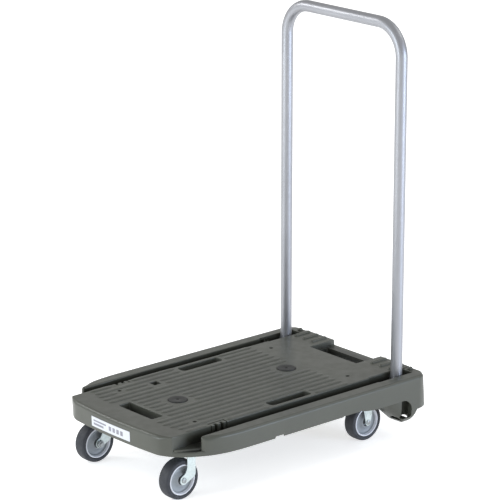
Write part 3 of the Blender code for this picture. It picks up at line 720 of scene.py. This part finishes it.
def heelOutline(side):
    radius = deck["cornerRadius"]
    middle = (deck["halfWidth"] - radius, deck["rear"] - radius)
    outer = arcPoints(middle, radius, 0, 90, 10)
    inner = arcPoints(middle, radius - 0.005, 90, 0, 10)
    return onSide([(deck["halfWidth"], 0.272)] + outer + [(0.100, deck["rear"]), (0.100, 0.297)] + inner
                  + [(deck["halfWidth"] - 0.005, 0.272)], side)


def keptSolid():
    zones = [(-0.056, -0.258, 0.056, -0.214), (-0.110, -0.134, -0.086, -0.110),
             (-0.0665, 0.236, 0.0665, 0.302)]
    zones += [(-0.021, y - 0.021, 0.021, y + 0.021) for y in deck["capYs"]]
    for side in (-1, 1):
        low, high = sorted((side * 0.110, side * deck["platformHalf"]))
        zones.append((low, -0.044, high, 0.066))
        low, high = sorted((side * 0.084, side * 0.160))
        zones += [(low, y - 0.038, high, y + 0.038) for y in (-0.227, 0.203)]
    return zones


def cellBodies():
    # open cells between the ribs under the deck
    zones, rib = keptSolid(), deck["rib"]
    columns, rows = 8, 15
    pitchX = 2 * (deck["platformHalf"] - rib) / columns
    pitchY = 0.564 / rows
    bodies = []
    for i in range(columns):
        for j in range(rows):
            x = -deck["platformHalf"] + rib + i * pitchX + rib / 2
            y = -0.274 + j * pitchY + rib / 2
            farX, farY = x + pitchX - rib, y + pitchY - rib
            if all(farX <= z[0] or x >= z[2] or farY <= z[1] or y >= z[3] for z in zones):
                outline = roundedRectangle((x, y), (farX, farY), 0.0015, 2)
                bodies.append(upright(outline, 0.085, deck["platformTop"] - deck["skin"]))
    for side in (-1, 1):
        for k in range(6):
            y = -0.150 + k * 0.064
            low, high = sorted((side * (deck["channelOuter"] + rib), side * (deck["halfWidth"] - rib)))
            outline = roundedRectangle((low, y), (high, y + 0.064 - rib), 0.0015, 2)
            bodies.append(upright(outline, 0.085, deck["railTop"] - deck["skin"] - 0.001))
    return bodies


def openingBodies():
    top = deck["platformTop"]
    x0, y0, x1, y1 = deck["frontSlot"]
    bodies = [flaredCut(roundedRectangle((x0, y0), (x1, y1), 0.004), 0.05, top, 0.0015)]
    x0, y0, x1, y1 = deck["square"]
    bodies.append(flaredCut(roundedRectangle((x0, y0), (x1, y1), 0.0012, 3), 0.05, top, 0.0008))
    x0, y0, x1, y1 = deck["sideSlot"]
    for side in (-1, 1):
        outline = onSide(roundedRectangle((x0, y0), (x1, y1), 0.007, 8), side)
        bodies.append(flaredCut(outline, 0.05, top, 0.0015))
    x, ys = deck["smallHoles"]
    for side in (-1, 1):
        for y in ys:
            bodies.append(flaredCut(arcPoints((side * x, y), 0.004, 0, 345, 23), 0.088, top, 0.0006))
    for y in deck["capYs"]:
        bodies.append(flaredCut(arcPoints((0, y), 0.0187, 0, 354, 59), 0.1245, top, 0.0006))
    return bodies


def rearOpenings():
    # the hand opening, and the notch above the grip bar
    top = deck["platformTop"]
    hand = roundedRectangle((-0.062, 0.240), (0.062, 0.281), 0.005)
    notch = roundedRectangle((-0.066, 0.238), (0.066, 0.33), 0.002, 3)
    return [upright(hand, 0.05, 0.15), flaredCut(notch, deck["gripTop"], top, 0.0015)]


def channelEnds(side):
    # the channel widens round the handle, and the handle's well opens below
    wide = deck["wide"]
    low, high = sorted((side * (deck["platformHalf"] - wide), side * (deck["channelOuter"] + wide)))
    outline = roundedRectangle((low, deck["wideFront"]), (high, deck["wellRear"]), 0.003, 4)
    slack, front, rear = 0.0002, deck["wellFront"], deck["wellRear"]
    well = roundedRectangle((low + slack, front), (high - slack, rear - slack), 0.003, 4)
    mouth = flaredCut(outline, deck["channelFloor"], deck["railTop"] + 0.0005, 0.001)
    return [mouth, upright(well, 0.088, 0.115)]


def footHollow(side):
    well = arcPoints((side * 0.166, 0.256), 0.0165, 0, 350, 35)
    low, high = sorted((side * 0.166, side * 0.192))
    mouth = [(0.2430, 0.0866), (0.2430, 0.050), (0.2455, 0.0461), (0.265, 0.0461), (0.2685, 0.050),
             (0.2685, 0.0866)]
    return [upright(well, 0.041, 0.096), sideways(mouth, low, high)]


def pinRod(side):
    # cutter for the handle's pivot hole, through the deck and through the tube
    pin = centreOf(f"handle_pin_{sideNames[side]}")
    radius, half = deck["pinHole"]
    return roundRod(pin, radius, pin.x - half, pin.x + half, "X", 24)


def fixingHoles(side):
    bodies = []
    x = side * abs(centreOf("tyre_front_right").x)
    for y in (-0.227, 0.203):
        outline = roundedRectangle((x - 0.0375, y - 0.0355), (x + 0.0375, y + 0.0355), 0.003, 3)
        bodies.append(upright(outline, 0.085, 0.0993))
    inner, y0, y1, floor = deck["clip"]
    low, high = sorted((side * (inner - 0.0012), side * (deck["platformHalf"] + 0.004)))
    bodies.append(boxBody((low, y0 - 0.0016, floor), (high, y1 + 0.0016, 0.15)))
    bodies.append(pinRod(side))
    return bodies


def edgeSteps(side):
    low, high = sorted((side * 0.186, side * 0.200))
    first = [(-0.083, 0.088), (-0.059, 0.088), (-0.0605, 0.0955), (-0.0815, 0.0955)]
    second = [(0.084, 0.088), (0.140, 0.088), (0.138, 0.0928), (0.086, 0.0933)]
    return [sideways(first, low, high), sideways(second, low, high)]


def leanBack(piece):
    # the rear wall leans out towards its foot
    tall = deck["railTop"] - deck["heel"]
    for vert in piece.data.vertices:
        drop = min(1.0, max(0.0, (deck["railTop"] - vert.co.z) / tall))
        vert.co.y += (deck["rearShift"] + deck["rearLean"] * drop) * ease(vert.co.y, 0.284, 0.300)


def makeDeck():
    piece = pieceOf("deckBody", platformBody(), deckPlastic)
    lip = softSolid(lipOutline(), deck["bottom"], deck["ledge"], 0.0015, 0.0015, 4)
    tools = [("UNION", lip)]
    for side in (-1, 1):
        channel = softSolid(floorOutline(side), deck["ledge"] - 0.002, deck["channelFloor"], 0.001)
        tools.append(("UNION", channel))
        tools.append(("UNION", railBody(side)))
        tools.append(("UNION", shelfRim(side)))
        tools += [("DIFFERENCE", body) for body in edgeSteps(side)]
        low, high = sorted((side * 0.1865, side * (deck["halfWidth"] - 0.00005)))
        tools.append(("UNION", sideways(skirtSide(), low, high)))
        tools.append(("UNION", footBody(side)))
        tools.append(("UNION", softSolid(heelOutline(side), deck["heel"], 0.1, 0.0, 0.001)))
    grip = softSolid(roundedRectangle((-0.080, 0.281), (0.080, 0.3015), 0.003), deck["bottom"] + 0.001,
                     deck["gripTop"], 0.003)
    tools.append(("UNION", grip))
    shape(piece, tools)
    print("deck joined")
    cuts = [("DIFFERENCE", joined(cellBodies())), ("DIFFERENCE", joined(rearOpenings())),
            ("DIFFERENCE", joined(openingBodies()))]
    for side in (-1, 1):
        cuts += [("DIFFERENCE", joined(group(side))) for group in (channelEnds, footHollow, fixingHoles)]
    shape(piece, cuts)
    leanBack(piece)
    print("deck cut")
    return finishPiece(piece, "deck", "deck_plastic", "deck_body")


makeDeck()

# treads on the platform, and the ridges on the rear blocks

treads = {"count": 17, "pitch": 0.0172, "front": -0.256, "rear": 0.150, "margin": 0.0045, "width": 0.0112,
          "height": 0.0015, "taper": 0.010, "step": 0.003}


def treadLines():
    holes = [deck["frontSlot"], deck["square"]]
    x0, y0, x1, y1 = deck["sideSlot"]
    holes += [(x0, y0, x1, y1), (-x1, y0, -x0, y1)]
    holes += [(-0.0195, y - 0.0195, 0.0195, y + 0.0195) for y in deck["capYs"]]
    x, ys = deck["smallHoles"]
    holes += [(s * x - 0.004, y - 0.004, s * x + 0.004, y + 0.004) for s in (-1, 1) for y in ys]
    inner, y0, y1 = deck["clip"][:3]
    holes += [(inner, y0, 0.15, y1), (-0.15, y0, -inner, y1)]
    lines = []
    for i in range(treads["count"]):
        x = (i - (treads["count"] - 1) / 2) * treads["pitch"]
        start = treads["front"] + 0.010 * ease(abs(x), 0.085, 0.135)
        gaps = sorted((h[1] - treads["margin"], h[3] + treads["margin"]) for h in holes
                      if h[0] - treads["width"] / 2 < x < h[2] + treads["width"] / 2)
        for low, high in gaps + [(treads["rear"], 1.0)]:
            if low - start > 0.02:
                lines.append([(x, start, 0.0), (x, min(low, treads["rear"]), 0.0)])
            start = max(start, high)
    return lines


def makeTreads():
    piece = linesPiece("deckTreads", treadLines())
    runTree(piece, bars, {"Width": treads["width"], "Height": treads["height"], "Taper": treads["taper"],
                          "Step": treads["step"], "Base": deck["platformTop"], "Finish": deckPlastic})
    return finishPiece(piece, "deck", "deck_plastic")


ridges = {"width": 0.009, "height": 0.0040, "front": 0.258, "rear": 0.2995, "taper": 0.003}


def makeRidges():
    lines = []
    for side in (-1, 1):
        for x in deck["ridgeXs"]:
            front = 0.288 if x > deck["platformHalf"] else ridges["front"]
            lines.append([(side * x, front, 0.0), (side * x, ridges["rear"], 0.0)])
    piece = linesPiece("rearRidges", lines)
    runTree(piece, bars, {"Width": ridges["width"], "Height": ridges["height"], "Taper": ridges["taper"],
                          "Step": 0.001, "Base": deck["platformTop"] - 0.0005, "Finish": deckPlastic})
    return finishPiece(piece, "deck", "deck_plastic")


makeTreads()
makeRidges()
print("treads and ridges done")

# round caps

capShape = {"radius": 0.0181, "low": 0.1249, "top": 0.1305, "soft": 0.0014, "dimple": 0.0030}


def makeCap(node):
    middle = centreOf(node)
    radius, low, top, soft, dimple = (capShape[k] for k in ("radius", "low", "top", "soft", "dimple"))
    rim = [(top - soft + soft * math.sin(a), radius - soft + soft * math.cos(a)) for a in
           (0, math.pi / 6, math.pi / 3, math.pi / 2)]
    crown = [(top - 0.0003, radius * 0.6), (top - 0.0004, dimple + 0.0012)]
    profile = [(low, 0.0), (low, radius - 0.0005), (low + 0.0005, radius)] + rim + crown
    profile += [(top - 0.0009, dimple), (top - 0.0018, dimple - 0.0008), (top - 0.0018, 0.0)]
    name = "cap" + node.split("_")[-1].capitalize()
    piece = pieceOf(name, turned(profile, (0, middle.y, 0), "Z", 72), capPlastic)
    return finishPiece(piece, "deck", "cap_plastic", node)


for node in ("deck_cap_front", "deck_cap_rear"):
    makeCap(node)

# handle clips

clipShape = {"fingers": 3, "finger": 0.0070, "root": 0.0036, "soft": 0.0009}


def makeClip(side):
    node = f"handle_clip_{sideNames[side]}"
    low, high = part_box(node)
    inner, tip = (low[0], high[0]) if side > 0 else (high[0], low[0])
    step = (high[1] - low[1] - clipShape["finger"]) / (clipShape["fingers"] - 1)
    root = inner + side * clipShape["root"]
    comb = [(inner, high[1]), (inner, low[1])]
    for k in range(clipShape["fingers"]):
        y = low[1] + k * step
        comb += [(tip, y), (tip, y + clipShape["finger"])]
        if k < clipShape["fingers"] - 1:
            comb += [(root, y + clipShape["finger"]), (root, y + step)]
    piece = pieceOf(f"clip{sideNames[side].capitalize()}", upright(comb, low[2], high[2]), deckPlastic)
    bevelled(piece, clipShape["soft"], 3)
    return finishPiece(piece, "deck", "deck_plastic", node)


for side in (-1, 1):
    makeClip(side)

# label

def makeLabel():
    low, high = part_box("label_plate")

    def faceY(x, z):
        tall = deck["platformTop"] - 0.007 - deck["bottom"]
        share = 1 - min(1.0, (z - deck["bottom"]) / tall)
        return noseLine(x) + deck["lean"] * share * 0.97

    def sheet(x0, x1, z0, z1, proud, thick):
        rings = []
        for i in range(25):
            x = x0 + (x1 - x0) * i / 24
            rings.append([(x, faceY(x, z0) - proud - thick, z0), (x, faceY(x, z1) - proud - thick, z1),
                          (x, faceY(x, z1) - proud, z1), (x, faceY(x, z0) - proud, z0)])
        return loft(rings)

    film = pieceOf("labelFilm", sheet(low[0], high[0], low[2], high[2], 0.0001, 0.0005), labelWhite)
    finishPiece(film, "deck", "label_film", "label_plate")
    marks = [sheet(low[0] + 0.006, low[0] + 0.036, low[2] + 0.0040, low[2] + 0.0080, 0.0006, 0.0001),
             sheet(low[0] + 0.006, low[0] + 0.044, low[2] + 0.0110, low[2] + 0.0140, 0.0006, 0.0001)]
    starts = [low[0] + 0.052 + k * 0.011 for k in range(4)]
    bands = [sheet(x, x + 0.007, low[2] + 0.0050, low[2] + 0.0135, 0.0006, 0.0001) for x in starts]
    print("label done")
    return finishPiece(pieceOf("labelBlocks", joined(marks + bands), labelGrey), "deck", "label_film")


makeLabel()

# handle

handle = {"top": 0.794, "bendRadius": 0.060, "radius": 0.0111, "wall": 0.0014, "segments": 48,
          "bendSteps": 20}


def makeTube():
    low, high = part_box("handle_tube")
    x, y = high[0] - handle["radius"], (low[1] + high[1]) / 2
    bendZ, bendX = handle["top"] - handle["bendRadius"], x - handle["bendRadius"]
    half = [(x, low[2])] + [(x, bendZ)]
    half += arcPoints((bendX, bendZ), handle["bendRadius"], 0, 90, handle["bendSteps"])[1:]
    path = [Vector(p) for p in half + [(-a, b) for a, b in reversed(half)]]
    outer, inner = [], []
    for i, here in enumerate(path):
        ahead = (path[min(i + 1, len(path) - 1)] - here).normalized()
        behind = (here - path[max(i - 1, 0)]).normalized()
        along = (ahead + behind).normalized()
        across = Vector((-along.y, along.x))
        for radius, rings in ((handle["radius"], outer), (handle["radius"] - handle["wall"], inner)):
            ring = []
            for k in range(handle["segments"]):
                angle = 2 * math.pi * k / handle["segments"]
                shift = across * radius * math.cos(angle)
                ring.append((here.x + shift.x, y + radius * math.sin(angle), here.y + shift.y))
            rings.append(ring)
    bm = bmesh.new()
    loops = [[bm.verts.new(point) for point in ring] for ring in outer + inner[::-1]]
    for first, second in zip(loops, loops[1:] + loops[:1]):
        for k in range(handle["segments"]):
            j = (k + 1) % handle["segments"]
            bm.faces.new((first[k], first[j], second[j], second[k]))
    piece = pieceOf("handleTube", bm, handleMetal)
    shape(piece, [("DIFFERENCE", pinRod(side)) for side in (-1, 1)])
    return finishPiece(piece, "handle", "satin_aluminium", "handle_tube")


makeTube()
print("handle done")

# wheels

wheel = {"tyreHalf": 0.0125, "tread": 0.0375, "inner": 0.0293, "rim": 0.029, "paintedHighlightRim": 0.0040,
         "hub": 0.011, "bore": 0.0054}


def tyreProfile():
    half, tread, inner = wheel["tyreHalf"], wheel["tread"], wheel["inner"]
    shoulder = arcPoints((half - 0.0042, tread - 0.0046), 0.0042, 0, 78, 8)
    right = [(half - 0.0006, inner), (half, inner + 0.0008)] + shoulder
    crown = [(half * k, tread - 0.0004 * k * k) for k in (0.5, 0.25, 0.0)]
    side = right + crown
    return side + [(-along, radius) for along, radius in reversed(side[:-1])]


def coreProfile():
    # outer rim (painted lighter as a highlight in makeWheel), sunk disc, hub ring with a deep counterbore
    rim, hub, bore = wheel["rim"], wheel["hub"], wheel["bore"]
    lip = arcPoints((0.0107, rim - 0.0016), 0.0014, 70, -80, 8)
    dish = smoothPath([(0.0078, rim - 0.0038), (0.0050, rim - 0.0052), (0.0040, rim - 0.0078)], 4)
    web = smoothPath([(0.0036, 0.0190), (0.0042, 0.0165), (0.0062, 0.0138), (0.0092, hub + 0.0006)], 4)
    neck = [(0.0106, hub), (0.0112, hub - 0.0006), (0.0112, hub - 0.0014), (0.0106, hub - 0.0020)]
    sunk = [(0.0048, 0.0090), (0.0044, 0.0086), (0.0044, bore + 0.0010), (0.0040, bore)]
    side = [(0.0085, rim)] + lip + dish + web + neck + sunk
    return side + [(-along, radius) for along, radius in reversed(side)]


def makeWheel(end, sideName):
    label = f"{end}_{sideName}"
    middle = centreOf(f"tyre_{label}")
    name = end + sideName.capitalize()
    tyre = pieceOf("tyre" + name, turned(tyreProfile(), middle, "X", 96), wheelRubber)
    finishPiece(tyre, f"wheel_{label}", "tyre_rubber", f"tyre_{label}")
    core = pieceOf("wheelCore" + name, turned(coreProfile(), middle, "X", 80), corePlastic)
    core.data.materials.append(rimPlastic)
    # painted highlight: the faces of the outer rim get the lighter rim finish
    for face in core.data.polygons:
        if math.hypot(face.center.y - middle.y, face.center.z - middle.z) > wheel["rim"] - wheel["paintedHighlightRim"]:
            face.material_index = 1
    finishPiece(core, f"wheel_{label}", "wheel_plastic", f"wheel_core_{label}")


# forks, axles and plates

fork = {"inner": 0.0143, "sheet": 0.002, "eye": 0.0085, "rearEye": 0.0068, "soft": 0.0005, "axleHole": 0.0044,
        "pinHole": 0.0054}


def frontLeg(axle):
    # straight rear edge down to a knee, then forward under the axle
    y, z = axle.y, axle.z
    knee = smoothPath([(-0.2224, 0.0450), (-0.2236, 0.0415), (-0.2268, 0.0388)], 4)
    rear = [(-0.2222, 0.0846), (-0.2222, 0.0480)] + knee
    eye = arcPoints((y, z), fork["eye"], -78, -202, 16)
    front = smoothPath([(y - 0.0062, z + 0.0068), (-0.2478, 0.0482), (-0.2438, 0.0530), (-0.2416, 0.0590),
                        (-0.2410, 0.0650)], 5) + [(-0.2410, 0.0846)]
    return rear + eye + front


def rearLeg(axle):
    eye = arcPoints((axle.y, axle.z), fork["rearEye"], 14, -194, 18)
    return [(axle.y + 0.0132, 0.0975), (axle.y + 0.0128, 0.070)] + eye + [(axle.y - 0.0128, 0.070),
                                                                         (axle.y - 0.0132, 0.0975)]


def legBodies(outline, middle):
    bodies = []
    for direction in (-1, 1):
        inner, outer = fork["inner"], fork["inner"] + fork["sheet"]
        low, high = sorted((middle.x + direction * inner, middle.x + direction * outer))
        leg = bevelled(pieceOf("leg", sideways(outline, low, high)), fork["soft"], 2)
        bm = bmesh.new()
        bm.from_mesh(leg.data)
        bpy.data.objects.remove(leg, do_unlink=True)
        bodies.append(bm)
    return bodies


def makeFork(end, side, legs, crown, crownLow, crownTop, body, holes=()):
    label = f"{end}_{sideNames[side]}"
    middle = centreOf(f"tyre_{label}")
    piece = pieceOf(f"fork{end.capitalize()}{sideNames[side].capitalize()}",
                    softSolid(crown, crownLow, crownTop, 0.0004, 0.0004, 3), forkZinc)
    tools = [("UNION", leg) for leg in legBodies(legs, middle)]
    bore = roundRod(middle, fork["axleHole"], middle.x - 0.03, middle.x + 0.03, "X", 32)
    tools.append(("DIFFERENCE", bore))
    tools += [("DIFFERENCE", hole) for hole in holes]
    shape(piece, tools)
    return finishPiece(piece, body, "zinc_plate", f"fork_{label}")


def makeFrontFork(side):
    label = f"front_{sideNames[side]}"
    axle = centreOf(f"tyre_{label}")
    pin = centreOf(f"kingpin_{label}")
    edge = fork["inner"] + fork["sheet"]
    crown = arcPoints((pin.x, pin.y), 0.021, 38, 142, 14)
    crown += [(pin.x - edge, pin.y - 0.010), (pin.x - edge + 0.004, pin.y - 0.0145),
              (pin.x + edge - 0.004, pin.y - 0.0145), (pin.x + edge, pin.y - 0.010)]
    hole = roundRod(pin, fork["pinHole"], 0.080, 0.088, "Z", 32)
    return makeFork("front", side, frontLeg(axle), crown, 0.0826, 0.085, f"swivel_{label}", [hole])


def makeRearFork(side):
    label = f"rear_{sideNames[side]}"
    axle = centreOf(f"tyre_{label}")
    plate = roundedRectangle((axle.x - 0.030, axle.y - 0.032), (axle.x + 0.030, axle.y + 0.032), 0.006)
    piece = makeFork("rear", side, rearLeg(axle), plate, 0.0966, 0.099, "deck")
    stiffeners = []
    for direction in (-1, 1):
        x = axle.x + direction * (fork["inner"] + fork["sheet"] - 0.0004)
        for y in (axle.y - 0.0055, axle.y + 0.0055):
            stiffeners.append((x, y))
    return piece, stiffeners


embossing = {"width": 0.0044, "low": 0.051, "high": 0.0935, "height": 0.0018}


def makeEmbossing(side, places):
    # two pressed ribs on each leg of the fixed fork
    bodies = []
    middle = centreOf(f"fork_rear_{sideNames[side]}").x
    for x, y in places:
        outward = math.copysign(1, x - middle)
        half = embossing["width"] / 2
        outline = arcPoints((y, embossing["low"] + half), half, 180, 360, 8)
        outline += [(y + half, embossing["high"]), (y - half, embossing["high"])]
        rings = []
        for i in range(5):
            turn = math.pi / 2 * i / 4
            moved = shrunk(outline, [half * 0.8 * (1 - math.cos(turn))] * len(outline))
            rings.append([(x + outward * embossing["height"] * math.sin(turn), a, b) for a, b in moved])
        bodies.append(loft(rings))
    piece = pieceOf(f"forkRibs{sideNames[side].capitalize()}", joined(bodies), forkZinc)
    return finishPiece(piece, "deck", "zinc_plate")


boltShape = {"head": 0.0050, "tall": 0.0015, "shank": 0.004, "end": -0.0235, "nut": 0.0073, "hole": 0.0044}


def makeAxle(end, side, body):
    label = f"{end}_{sideNames[side]}"
    middle = centreOf(f"tyre_{label}")
    outer = fork["inner"] + fork["sheet"] + 0.0003
    head, tall = boltShape["head"], boltShape["tall"]
    dome = [(outer, boltShape["shank"]), (outer, head - 0.0003), (outer + 0.0003, head),
            (outer + tall * 0.5, head), (outer + tall * 0.85, head - 0.0006), (outer + tall, head - 0.0016),
            (outer + tall, 0.0026), (outer + tall * 0.55, 0.0020), (outer + tall * 0.5, 0.0)]
    tip = boltShape["end"]
    profile = [(tip, 0.0), (tip, 0.0033), (tip + 0.0007, boltShape["shank"])] + dome
    bolt = pieceOf(f"axleBolt{end.capitalize()}{sideNames[side].capitalize()}",
                   turned([(side * a, r) for a, r in profile], middle, "X", 40), boltSteel)
    finishPiece(bolt, body, "plain_steel", f"axle_bolt_{label}")
    nutLow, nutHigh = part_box(f"axle_nut_{label}")
    hexagon = arcPoints((middle.y, middle.z), boltShape["nut"], 0, 300, 5)
    nut = bevelled(pieceOf(f"axleNut{end.capitalize()}{sideNames[side].capitalize()}",
                           sideways(hexagon, nutLow[0], nutHigh[0]), boltSteel), 0.0006, 2)
    bore = roundRod(middle, boltShape["hole"], nutLow[0] - 0.002, nutHigh[0] + 0.002, "X", 32)
    shape(nut, [("DIFFERENCE", bore)])
    finishPiece(nut, body, "plain_steel", f"axle_nut_{label}")


def makeSwivelTop(side):
    # mounting plate with its ball race, and the riveted kingpin
    label = f"front_{sideNames[side]}"
    name = sideNames[side].capitalize()
    pin = centreOf(f"kingpin_{label}")
    outline = roundedRectangle((pin.x - 0.030, pin.y - 0.032), (pin.x + 0.030, pin.y + 0.032), 0.006)
    plate = pieceOf("casterPlate" + name, softSolid(outline, 0.0966, 0.099, 0.0004, 0.0004, 3), forkZinc)
    shape(plate, [("DIFFERENCE", roundRod(pin, fork["pinHole"], 0.09, 0.105, "Z", 32))])
    finishPiece(plate, "deck", "zinc_plate", f"caster_plate_{label}")
    race = [(0.0853, 0.0054), (0.0853, 0.0172)] + arcPoints((0.0868, 0.0172), 0.0015, 180, 90, 5)[1:]
    race += [(0.0884, 0.0190), (0.0890, 0.0205), (0.0925, 0.0205), (0.0945, 0.0198), (0.0963, 0.0180),
             (0.0963, 0.0054)]
    ring = pieceOf("swivelRace" + name, turned(race, (pin.x, pin.y, 0), "Z", 64), forkZinc)
    finishPiece(ring, "deck", "zinc_plate", f"swivel_race_{label}")
    rivet = [(0.0788, 0.0), (0.0788, 0.0050), (0.0792, 0.0070), (0.0802, 0.0083), (0.0812, 0.0085),
             (0.0823, 0.0085), (0.0823, 0.005), (0.0986, 0.005), (0.0986, 0.0)]
    head = pieceOf("kingpin" + name, turned(rivet, (pin.x, pin.y, 0), "Z", 40), boltSteel)
    finishPiece(head, "deck", "plain_steel", f"kingpin_{label}")


for side in (-1, 1):
    front, rear = f"front_{sideNames[side]}", f"rear_{sideNames[side]}"
    makeWheel("front", sideNames[side])
    makeWheel("rear", sideNames[side])
    makeFrontFork(side)
    rearPiece, ribPlaces = makeRearFork(side)
    makeEmbossing(side, ribPlaces)
    makeAxle("front", side, f"swivel_{front}")
    makeAxle("rear", side, "deck")
    makeSwivelTop(side)
print("casters done")

# plate screws, all sixteen from one screw

screw = {"head": 0.0042, "headTall": 0.0026, "shank": 0.0022}


def makeScrews():
    points, nodes, top = [], [], 0.0
    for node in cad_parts:
        if node.startswith("screw_"):
            low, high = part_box(node)
            points.append([((low[0] + high[0]) / 2, (low[1] + high[1]) / 2, low[2])])
            nodes.append(node)
            top = high[2] - low[2]
    dome = [(0.0, 0.0), (0.0, 0.0015), (0.0004, 0.0030), (0.0012, 0.0039), (screw["headTall"], screw["head"])]
    profile = dome + [(screw["headTall"], screw["shank"]), (top - 0.0015, screw["shank"]), (top, 0.0)]
    single = pieceOf("oneScrew", turned(profile, (0, 0, 0), "Z", 24), boltSteel)
    cross = [boxBody((-0.0018, -0.0004, -0.001), (0.0018, 0.0004, 0.0012)),
             boxBody((-0.0004, -0.0018, -0.001), (0.0004, 0.0018, 0.0012))]
    shape(single, [("DIFFERENCE", joined(cross))])
    piece = linesPiece("plateScrews", points)
    runTree(piece, copies, {"Piece": single, "Finish": boltSteel})
    bpy.data.objects.remove(single, do_unlink=True)
    return finishPiece(piece, "deck", "plain_steel", *nodes)


makeScrews()

# pieces that keep their own shape

ownFinishes = {"handle_pin": boltSteel, "handle_plug": capPlastic, "axle_sleeve": boltSteel}
for node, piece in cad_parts.items():
    for start, material in ownFinishes.items():
        if node.startswith(start):
            piece.data.materials.clear()
            piece.data.materials.append(material)
print("fixings done")

# floor, light and camera

studio = {"floor": (0.93, 0.93, 0.93), "sky": 0.70, "glow": 0.60}
view = {"target": (0.0964, -0.0574, 0.4188), "azimuth": 48.94, "elevation": 16.57, "distance": 4.6,
        "lens": 184.5}


def areaLight(name, place, aim, size, power, colour):
    light = bpy.data.lights.new(name, "AREA")
    light.shape = "RECTANGLE"
    light.size, light.size_y = size
    light.energy = power
    light.color = colour
    lamp = bpy.data.objects.new(name, light)
    bpy.context.collection.objects.link(lamp)
    lamp.location = place
    lamp.rotation_euler = (Vector(aim) - Vector(place)).to_track_quat("-Z", "Y").to_euler()


def makeStudio():
    paper = newMaterial("studioPaper", studio["floor"], 0.9, Emission_Color=(1, 1, 1, 1),
                        Emission_Strength=studio["glow"])
    floor = pieceOf("studioFloor", upright([(-7, -7), (7, -7), (7, 7), (-7, 7)], -0.02, -0.0002), paper)
    world = bpy.data.worlds.new("studioSky")
    bpy.context.scene.world = world
    world.use_nodes = True
    world.node_tree.nodes["Background"].inputs["Color"].default_value = (1, 1, 1, 1)
    world.node_tree.nodes["Background"].inputs["Strength"].default_value = studio["sky"]
    areaLight("rightLight", (2.9, 1.3, 0.6), (0, 0.1, 0.1), (1.6, 1.0), 50, (0.66, 0.78, 1.0))
    areaLight("frontLight", (-0.8, -3.2, 0.9), (0, 0, 0.2), (1.6, 1.6), 46, (0.86, 0.94, 1.0))
    areaLight("crestLight", (-2.3, -1.4, 1.8), (0, -0.2, 0.12), (0.6, 0.6), 22, (1.0, 1.0, 1.0))
    areaLight("topLight", (0.9, 1.7, 2.3), (0, 0, 0.1), (1.2, 1.2), 9, (1.0, 1.0, 0.95))


def makeCamera():
    turn, rise = math.radians(view["azimuth"]), math.radians(view["elevation"])
    toward = Vector((math.sin(turn) * math.cos(rise), -math.cos(turn) * math.cos(rise), math.sin(rise)))
    lens = bpy.data.cameras.new("productCamera")
    lens.lens = view["lens"]
    lens.sensor_width = 36.0
    lens.clip_end = 50.0
    camera = bpy.data.objects.new("productCamera", lens)
    bpy.context.collection.objects.link(camera)
    camera.location = Vector(view["target"]) + toward * view["distance"]
    camera.rotation_euler = (-toward).to_track_quat("-Z", "Y").to_euler()
    bpy.context.scene.camera = camera


makeStudio()
makeCamera()
bpy.context.scene.view_settings.view_transform = "Standard"
